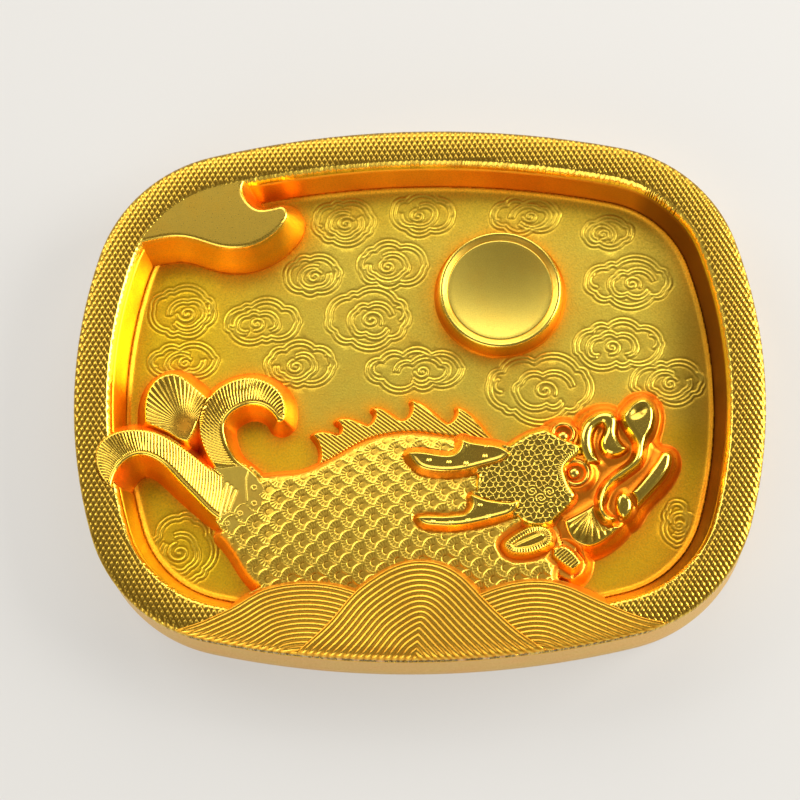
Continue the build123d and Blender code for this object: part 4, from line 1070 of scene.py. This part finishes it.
def lobedRing(cx, cy, a, b, lobes, bulge, turn, share=1.0):
    # arcs between corner points on an ellipse, each bulging outwards
    count = max(int(round(lobes * share)), 2)
    ends = turn + 2 * math.pi * share * np.arange(count + 1) / count
    ends = ends + 0.24 * np.sin(3.7 * np.arange(count + 1) + cx)
    if share == 1.0:
        ends[-1] = ends[0] + 2 * math.pi
    corners = np.stack([cx + a * np.cos(ends), cy + b * np.sin(ends)], 1)
    points = []
    for p, q in zip(corners[:-1], corners[1:]):
        t = np.linspace(0, 1, 9)[:-1, None]
        way = q - p
        normal = np.array([way[1], -way[0]])
        points.append(p + way * t + normal * bulge * np.sin(math.pi * t) ** 0.7)
    return np.concatenate(points + [corners[-1:]])


def cloudLines():
    # each cloud has a double outline, a double inner arc, a spiral and a hook
    lines = []
    pair, inset = clouds["pair"], clouds["inset"]
    for number, (cx, cy, a, b, lobes) in enumerate(clouds["places"]):
        turn = 0.6 + 1.3 * (number % 5)
        for gap in (inset, inset + pair):
            lines.append(lobedRing(cx, cy, a - gap - 0.6, b - gap - 0.45, lobes, 0.24, turn))
        ix, iy = cx + 0.14 * a * math.cos(turn * 2), cy - 0.08 * b
        for gap in (0.0, pair * 0.9):
            half = max(a * 0.52 - gap, 0.9), max(b * 0.5 - gap, 0.7)
            lines.append(lobedRing(ix, iy, *half, max(lobes - 3, 4), 0.26, turn + 1, 0.8))
        t = np.linspace(0, 1, 26)
        size = min(a, b) * 0.3 * (1 - 0.92 * t)
        lines.append(np.stack([ix + size * np.cos(turn + 9.5 * t) * 1.15, iy + size * np.sin(turn + 9.5 * t)], 1))
        side = 1 if number % 2 else -1
        hook = np.linspace(-1.2, 1.6, 12) + (0 if side > 0 else math.pi)
        lines.append(np.stack([cx + side * a * 0.66 + 1.2 * np.cos(hook), cy + 0.1 * b + 1.3 * np.sin(hook)], 1))
    return np.concatenate([linesOf(line, False) for line in lines])


floorPlate = {
    "name": "floorPlate", "slot": "blasted_floor", "node": "floor_plate", "step": 0.19, "block": 5, "blocks": (60, 47),
    "reach": 0.8, "wallRise": 0.5,  # how far a line works, and the fillet at the wall
    "covers": ("fish_body", "head_base", "moon_dish", "cloud_shelf", "wave_left", "wave_centre", "wave_right"),
    "feet": ("moon_dish", "cloud_shelf", "fish_body", "head_base", "tail_root", "tail_curl_lower", "tail_curl_upper",
             "tail_fan", "dorsal_fin", "wave_left", "wave_centre", "wave_right"),
}


def floorTone(x, y, near):
    # painted orange glow at the feet of the relief and in the basins, painted light near the left and far walls, dim at
    # the right end
    warm = 0.55 * np.exp(-near / 1.0) + 0.16 * np.exp(-near / 4)
    warm += 0.25 * np.exp(-((x - 45) / 9) ** 2 - ((y + 26) / 12) ** 2)
    warm += 0.15 * np.exp(-((x + 24) / 8) ** 2 - ((y + 10) / 6) ** 2)
    paintedLight = smooth(-15, -50, x) + 0.4 * smooth(28, 40, y) + smooth(-2, -10, y) * smooth(14, 24, np.abs(x))
    dim = 0.85 * smooth(43, 53, x) * smooth(-24, -8, y) * smooth(32, 12, y)
    return {"warm": np.clip(warm, 0, 1), "paintedLight": np.clip(paintedLight, 0, 1), "shade": dim}


def blockRings(coarse, block, index):
    # each block as one ring of points, which takes in the small corners of its neighbours
    padded = np.pad(coarse, 1)
    rings = []
    for bj, bi in zip(*np.nonzero(coarse)):
        j0, i0 = bj * block, bi * block
        j1, i1 = j0 + block, i0 + block
        edges = (index[j0, i0:i1], index[j0:j1, i1], index[j1, i1:i0:-1], index[j1:j0:-1, i0])
        ring = []
        for (dj, di, *_), keys in zip(cellSides, edges):
            ring += [int(keys[0])] if padded[bj + 1 + dj, bi + 1 + di] else keys.tolist()
        rings.append(ring)
    return rings


def makeFloor(spec):
    step, block, reach = spec["step"], spec["block"], spec["reach"]
    xs, ys = (np.arange(-half * block, half * block + 1) * step for half in spec["blocks"])
    x, y = np.meshgrid(xs, ys)
    poolRing = min(cutLoops("tray_casting", floorLevel + 0.02), key=lambda ring: abs(ringArea(ring)))
    d = -signedGrid(poolRing, xs, ys, 2.5)[0]
    toLine = nearestGrid(cloudLines(), xs, ys, reach)[0]
    clear = smooth(0.9, 1.6, d)
    raised, cut = bead(toLine, 0, clouds["bead"]) * clear, bead(toLine, 0.4, clouds["groove"]) * clear
    z = floorLevel + smooth(1.3, 0, d) ** 2 * spec["wallRise"] + clouds["rise"] * raised - clouds["cut"] * cut
    cells = cellsOf(d > -0.2)
    busy = (toLine < reach - 0.28) | (d < 1.5)
    covered = np.any([insideGrid(cutLoops(name, floorLevel + 3), xs, ys) for name in spec["covers"]], 0)
    feet = [poolRing] + [ring for name in spec["feet"] for ring in cutLoops(name, floorLevel + 0.15)]
    tone = floorTone(x, y, nearestGrid(np.concatenate([linesOf(ring) for ring in feet]), xs, ys, 9)[0])
    # painted highlight and wear on the cloud beads, painted shade in their grooves
    tone.update(edge=0.8 * raised, shade=np.maximum(0.7 * cut, tone["shade"]))

    # blocks with no fine cell, or hidden under a piece, become one face each
    shape = (cells.shape[0] // block, block, cells.shape[1] // block, block)
    plain = cellsOf(~busy).reshape(shape).all((1, 3)) | covered[:-1, :-1].reshape(shape).all((1, 3))
    coarse = cells.reshape(shape).all((1, 3)) & plain
    small = cells & ~np.repeat(np.repeat(coarse, block, 0), block, 1)
    z = np.where((covered & ~busy) | cellsOf(~np.pad(small, 1)), floorLevel, z)
    large = blockRings(coarse, block, np.arange(x.size).reshape(x.shape))
    gridPiece(spec, x, y, z, cells, tone, floorLevel - 0.6, small, large)


makeFloor(floorPlate)
print("pieces made")


# Ground, light and camera

ground = bpy.data.materials.new("pale_matt_ground")  # plain pale sweep that keeps the shadow
ground.use_nodes = True
tree = ground.node_tree
tree.nodes.remove(tree.nodes["Principled BSDF"])
rays = add(tree, "LightPath").node.outputs
seen = add(tree, "Math", {"operation": "MAXIMUM"}, i0=rays["Is Camera Ray"], i1=rays["Is Glossy Ray"])
seen = add(tree, "Math", {"operation": "MAXIMUM"}, i0=seen, i1=rays["Is Transmission Ray"])
glow = add(tree, "Emission", Color=linear("#E2E0DC"), Strength=0.62)
matt = add(tree, "BsdfDiffuse", Color=linear("#8C8A86"))
both = add(tree, "AddShader", i0=glow, i1=matt)
shown = add(tree, "MixShader", i0=seen, i1=matt, i2=both)
tree.links.new(shown, tree.nodes["Material Output"].inputs["Surface"])
bpy.ops.mesh.primitive_plane_add(size=4, location=(0, 0, 0))
floorPlane = bpy.context.object
floorPlane.name = "ground"
floorPlane.data.materials.append(ground)

world = bpy.data.worlds.new("studio")
bpy.context.scene.world = world
world.use_nodes = True
tree = world.node_tree
height = add(tree, "SeparateXYZ", out="Z", Vector=add(tree, "TexCoord", out="Generated"))
share = add(tree, "MapRange", i0=height, i1=0.02, i2=0.6)
sky = add(tree, "Mix", {"data_type": "RGBA"}, out=2, i0=share, i6=linear("#BDB8B0"), i7=linear("#807B73"))
tree.links.new(sky, tree.nodes["Background"].inputs["Color"])

aim = (0, 0, 0.01)  # the lamps' target, in metres like their places and sizes
for name, place, size, power in (
    ("backSoftbox", (0.10, 0.62, 0.42), 0.60, 3.4),
    ("rightSoftbox", (0.62, 0.12, 0.34), 0.45, 6.4),
    ("backLeftSoftbox", (-0.50, 0.42, 0.45), 0.45, 2.7),
    ("frontFill", (-0.26, -0.58, 0.34), 0.50, 1.6),
):
    lamp = bpy.data.lights.new(name, "AREA")
    lamp.size, lamp.energy = size, power
    light = bpy.data.objects.new(name, lamp)
    bpy.context.scene.collection.objects.link(light)
    light.location = place
    dx, dy, dz = (end - start for end, start in zip(aim, place))
    light.rotation_euler = (math.atan2(math.hypot(dx, dy), -dz), 0, math.atan2(-dx, dy))
print("ground and light made")

camera = bpy.data.cameras.new("camera")
camera.lens, camera.sensor_width = 93.0, 36  # solved from the outline in the photograph, as is its place
camera.clip_start, camera.clip_end = 0.01, 10
cameraObject = bpy.data.objects.new("camera", camera)
bpy.context.scene.collection.objects.link(cameraObject)
cameraObject.location = (0.0101, -0.1082, 0.3876)
cameraObject.rotation_euler = tuple(math.radians(a) for a in (15.78, 2.21, -0.52))
bpy.context.scene.camera = cameraObject
bpy.context.scene.view_settings.view_transform = "Standard"
